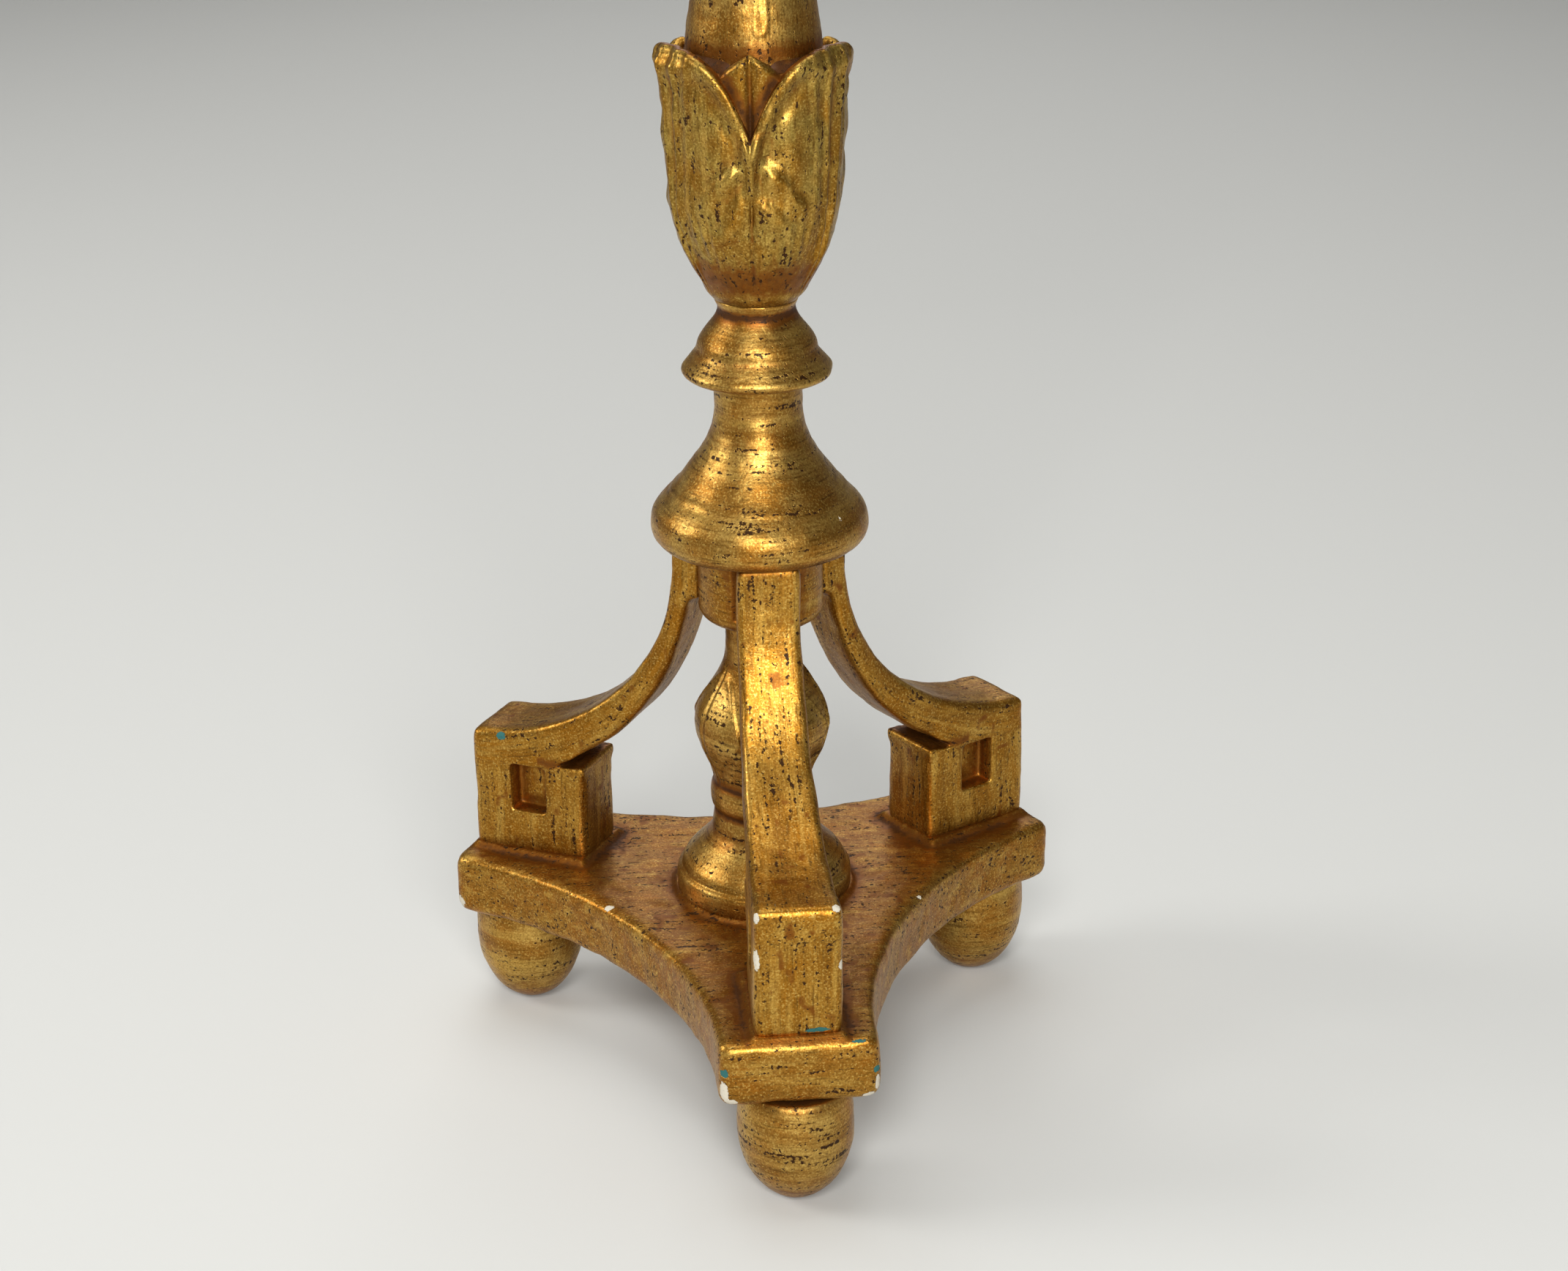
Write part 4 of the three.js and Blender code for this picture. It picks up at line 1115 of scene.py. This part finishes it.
def leg_piece(side, turn):
    """A leg with its sunk squares, and for each point its place on the board and its strokes."""
    piece = sawn_board("leg_" + side + "_sawn", leg_outline(), half_width)
    cutters = []
    for sign in (-1, 1):
        corners = [(-1, -1), (1, -1), (1, 1), (-1, 1)]
        corners = (POCKET_OUT, POCKET_UP) + np.array(corners) * (POCKET_HALF, POCKET_HALF_UP)
        cutter = sawn_board("pocket", corners, lambda r: 9.0)
        move_points(cutter.data, mesh_points(cutter.data) + [0, sign * half_width(POCKET_OUT), 0])
        cut = piece.modifiers.new("pocket", "BOOLEAN")
        cut.operation, cut.solver, cut.object = "DIFFERENCE", "EXACT", cutter
        cutters.append(cutter)
    remake(piece, 0.95)
    for cutter in cutters:
        bpy.data.objects.remove(cutter)
    mesh = piece.data
    rub(mesh, 22, near_pocket)
    points, normals = mesh_points(mesh), mesh_normals(mesh)
    seed = 71 + 5 * turn
    points += normals * unevenness(points, seed)[:, None]
    points[:, 1] += 0.6 * field(points * [1, 0, 1], 32, seed + 7)
    flat = points.copy()
    c, s = polar(1, facing(turn))
    world = [flat[:, 0] * c - flat[:, 1] * s, flat[:, 0] * s + flat[:, 1] * c, flat[:, 2]]
    move_points(mesh, np.stack(world, 1) + [0, 0, PLINTH_TOP])
    swing = np.arctan2(LEG_BEND - flat[:, 2], LEG_FRONT - flat[:, 0])
    reach = np.hypot(LEG_BEND - flat[:, 2], LEG_FRONT - flat[:, 0])
    on_strap = flat[:, 2] > 47
    run = np.where(on_strap, swing * 110, flat[:, 2])
    off = np.where(on_strap, reach, flat[:, 0])
    return piece, flat, np.c_[run / 11, flat[:, 1], off]


def leg_shade_and_grime(flat, seed):
    """Painted shade in the sunk squares, in the gap of the key and at both ends, and dirt in a few
    blots.
    """

    def grime_and_shade(_):
        r, t, z = flat[:, 0], np.abs(flat[:, 1]), flat[:, 2]
        within = (np.abs(r - POCKET_OUT) < 9) * (np.abs(z - POCKET_UP) < 12.2)
        pocket = within * (half_width(r) - t > 0.8)
        gap = bump(z - 50, 2.5) * (r < 110) * (r > 84)
        ends = 0.85 * bump(z, 2.6) + 0.8 * bump(z - LEG_RISE, 5)
        blots = 0.6 * fade(field(flat, 4.5, seed + 9), 0.62, 0.78)
        return np.clip(0.25 * pocket + gap + ends + blots, 0, 1.2)

    return grime_and_shade


# Gesso bared on the arrises of the front leg's block and in nicks in the left leg's top
leg_chips = {
    "front": spots(
        (-18.8, -143.8, 146.5, 2.0, 2.6, 3.4),
        (-18.8, -144, 126, 2.2, 2.6, 4.8),
        (17.2, -143.6, 149, 2.4, 2.6, 2.0),
        (18.8, -144, 121.5, 1.6, 2.2, 2.4),
        (11, -143.4, 150.2, 3.4, 2, 0.9),
    ),
    "left": spots((-101, 37.5, 158, 4, 2.6, 1.8), (-139, 57, 151, 2, 2, 1.6)),
}
# Older paint at the foot and top of the front block, and on the left leg
leg_paint = {
    "front": spots((-8.5, -140, 152, 6.5, 2.6, 2.2), (8, -144.5, 91, 6, 2, 1.2)),
    "left": spots((-120.8, 48.4, 147.8, 2.1, 2.6, 1.8), (-97.5, 36, 160, 2.6, 2, 1.2)),
}
for turn, side in enumerate(SIDES):
    leg, flat, strokes = leg_piece(side, turn)
    gilded(
        leg,
        ["leg_" + side],
        leg_gilding,
        lambda points, strokes=strokes: strokes,
        leg_shade_and_grime(flat, 71 + 5 * turn),
        leg_chips.get(side),
        leg_paint.get(side),
    )


# ------------------------------------------------------------------------- pricket and fixings

# The plate is a washer 2 mm thick; the spike stands through its hole, on a collar.
plate_outline = Turning(7.3).step(18).line(18, 2).step(7.3)
plate = turned("pricket_plate_forged", plate_outline, DISH_FLOOR, step=0.6, soften=0.4)
spike_outline = Turning(3, -16).line(3, 16).step(7).line(7, 2).ovolo(4.6, 3).line(0.5, 59)
spike = turned("pricket_spike_forged", spike_outline, DISH_FLOOR, step=0.6, soften=0.4)
for piece, node in ((plate, "pricket_plate"), (spike, "pricket_spike")):
    place_piece(piece, [node], iron)

for side in SIDES:
    for node, material in (("leg_screw_" + side, steel), ("leg_peg_" + side, beech)):
        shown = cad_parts[node]
        shown.data.materials.clear()
        shown.data.materials.append(material)


# ------------------------------------------------------------------------- floor, light, camera


def plain_floor():
    """Matt grey-white studio paper, rolled out flat: it shows the stand's soft shadow."""
    mesh = bpy.data.meshes.new("floor")
    mesh.from_pydata([(-6, -6, 0), (6, -6, 0), (6, 6, 0), (-6, 6, 0)], [], [(0, 1, 2, 3)])
    floor = bpy.data.objects.new("floor", mesh)
    bpy.context.collection.objects.link(floor)
    paper, tree = bare_material("studio_paper")
    matt = {"Base Color": linear("#C8C8C4"), "Roughness": 0.8}
    shader = add(tree, "ShaderNodeBsdfPrincipled", matt)
    add(tree, "ShaderNodeOutputMaterial", {"Surface": shader.outputs[0]})
    mesh.materials.append(paper)


def lamp(name, place, size, power):
    """A soft round lamp that faces the stand."""
    light = bpy.data.lights.new(name, "AREA")
    light.shape, light.size, light.energy = "DISK", size, power
    holder = bpy.data.objects.new(name, light)
    holder.location = place
    aim = Vector((0, 0, 0.28)) - Vector(place)
    holder.rotation_euler = aim.to_track_quat("-Z", "Y").to_euler()
    bpy.context.collection.objects.link(holder)


def room_light():
    """The even light of pale walls all round."""
    world = bpy.data.worlds.new("studio")
    bpy.context.scene.world = world
    world.use_nodes = True
    tree = world.node_tree
    tree.nodes.clear()
    sky = add(tree, "ShaderNodeBackground", {"Color": linear("#E4E4E2"), "Strength": 0.19})
    add(tree, "ShaderNodeOutputWorld", {"Surface": sky.outputs[0]})


def camera():
    """The photograph's own view: 66.75 mm lens, 1.33 m away, looking down 23 degrees."""
    azimuth, elevation, roll = map(math.radians, (-6.118, 23.221, -0.565))
    level = math.cos(elevation)
    back = Vector((math.sin(azimuth) * level, -math.cos(azimuth) * level, math.sin(elevation)))
    right = Vector((0, 0, 1)).cross(back).normalized()
    up = back.cross(right)
    tilt_right = math.cos(roll) * right + math.sin(roll) * up
    tilt_up = -math.sin(roll) * right + math.cos(roll) * up
    data = bpy.data.cameras.new("camera")
    data.sensor_width, data.lens = 36, 66.75
    holder = bpy.data.objects.new("camera", data)
    bpy.context.collection.objects.link(holder)
    turn = Matrix((tilt_right, tilt_up, back)).transposed().to_4x4()
    holder.matrix_world = Matrix.Translation((-0.1199, -1.2176, 0.7386)) @ turn
    bpy.context.scene.camera = holder


plain_floor()
lamp("key", (-0.75, -3.4, 3.0), 1.3, 95)
lamp("front", (0.1, -2.1, 1.05), 0.85, 34)
lamp("side", (-2.9, 0.3, 1.7), 1.3, 42)
lamp("rim", (0.4, 2.9, 1.75), 1.5, 11)
lamp("overhead", (-0.2, 0.5, 3.0), 2.2, 42)
room_light()
camera()
bpy.context.scene.view_settings.view_transform = "Standard"
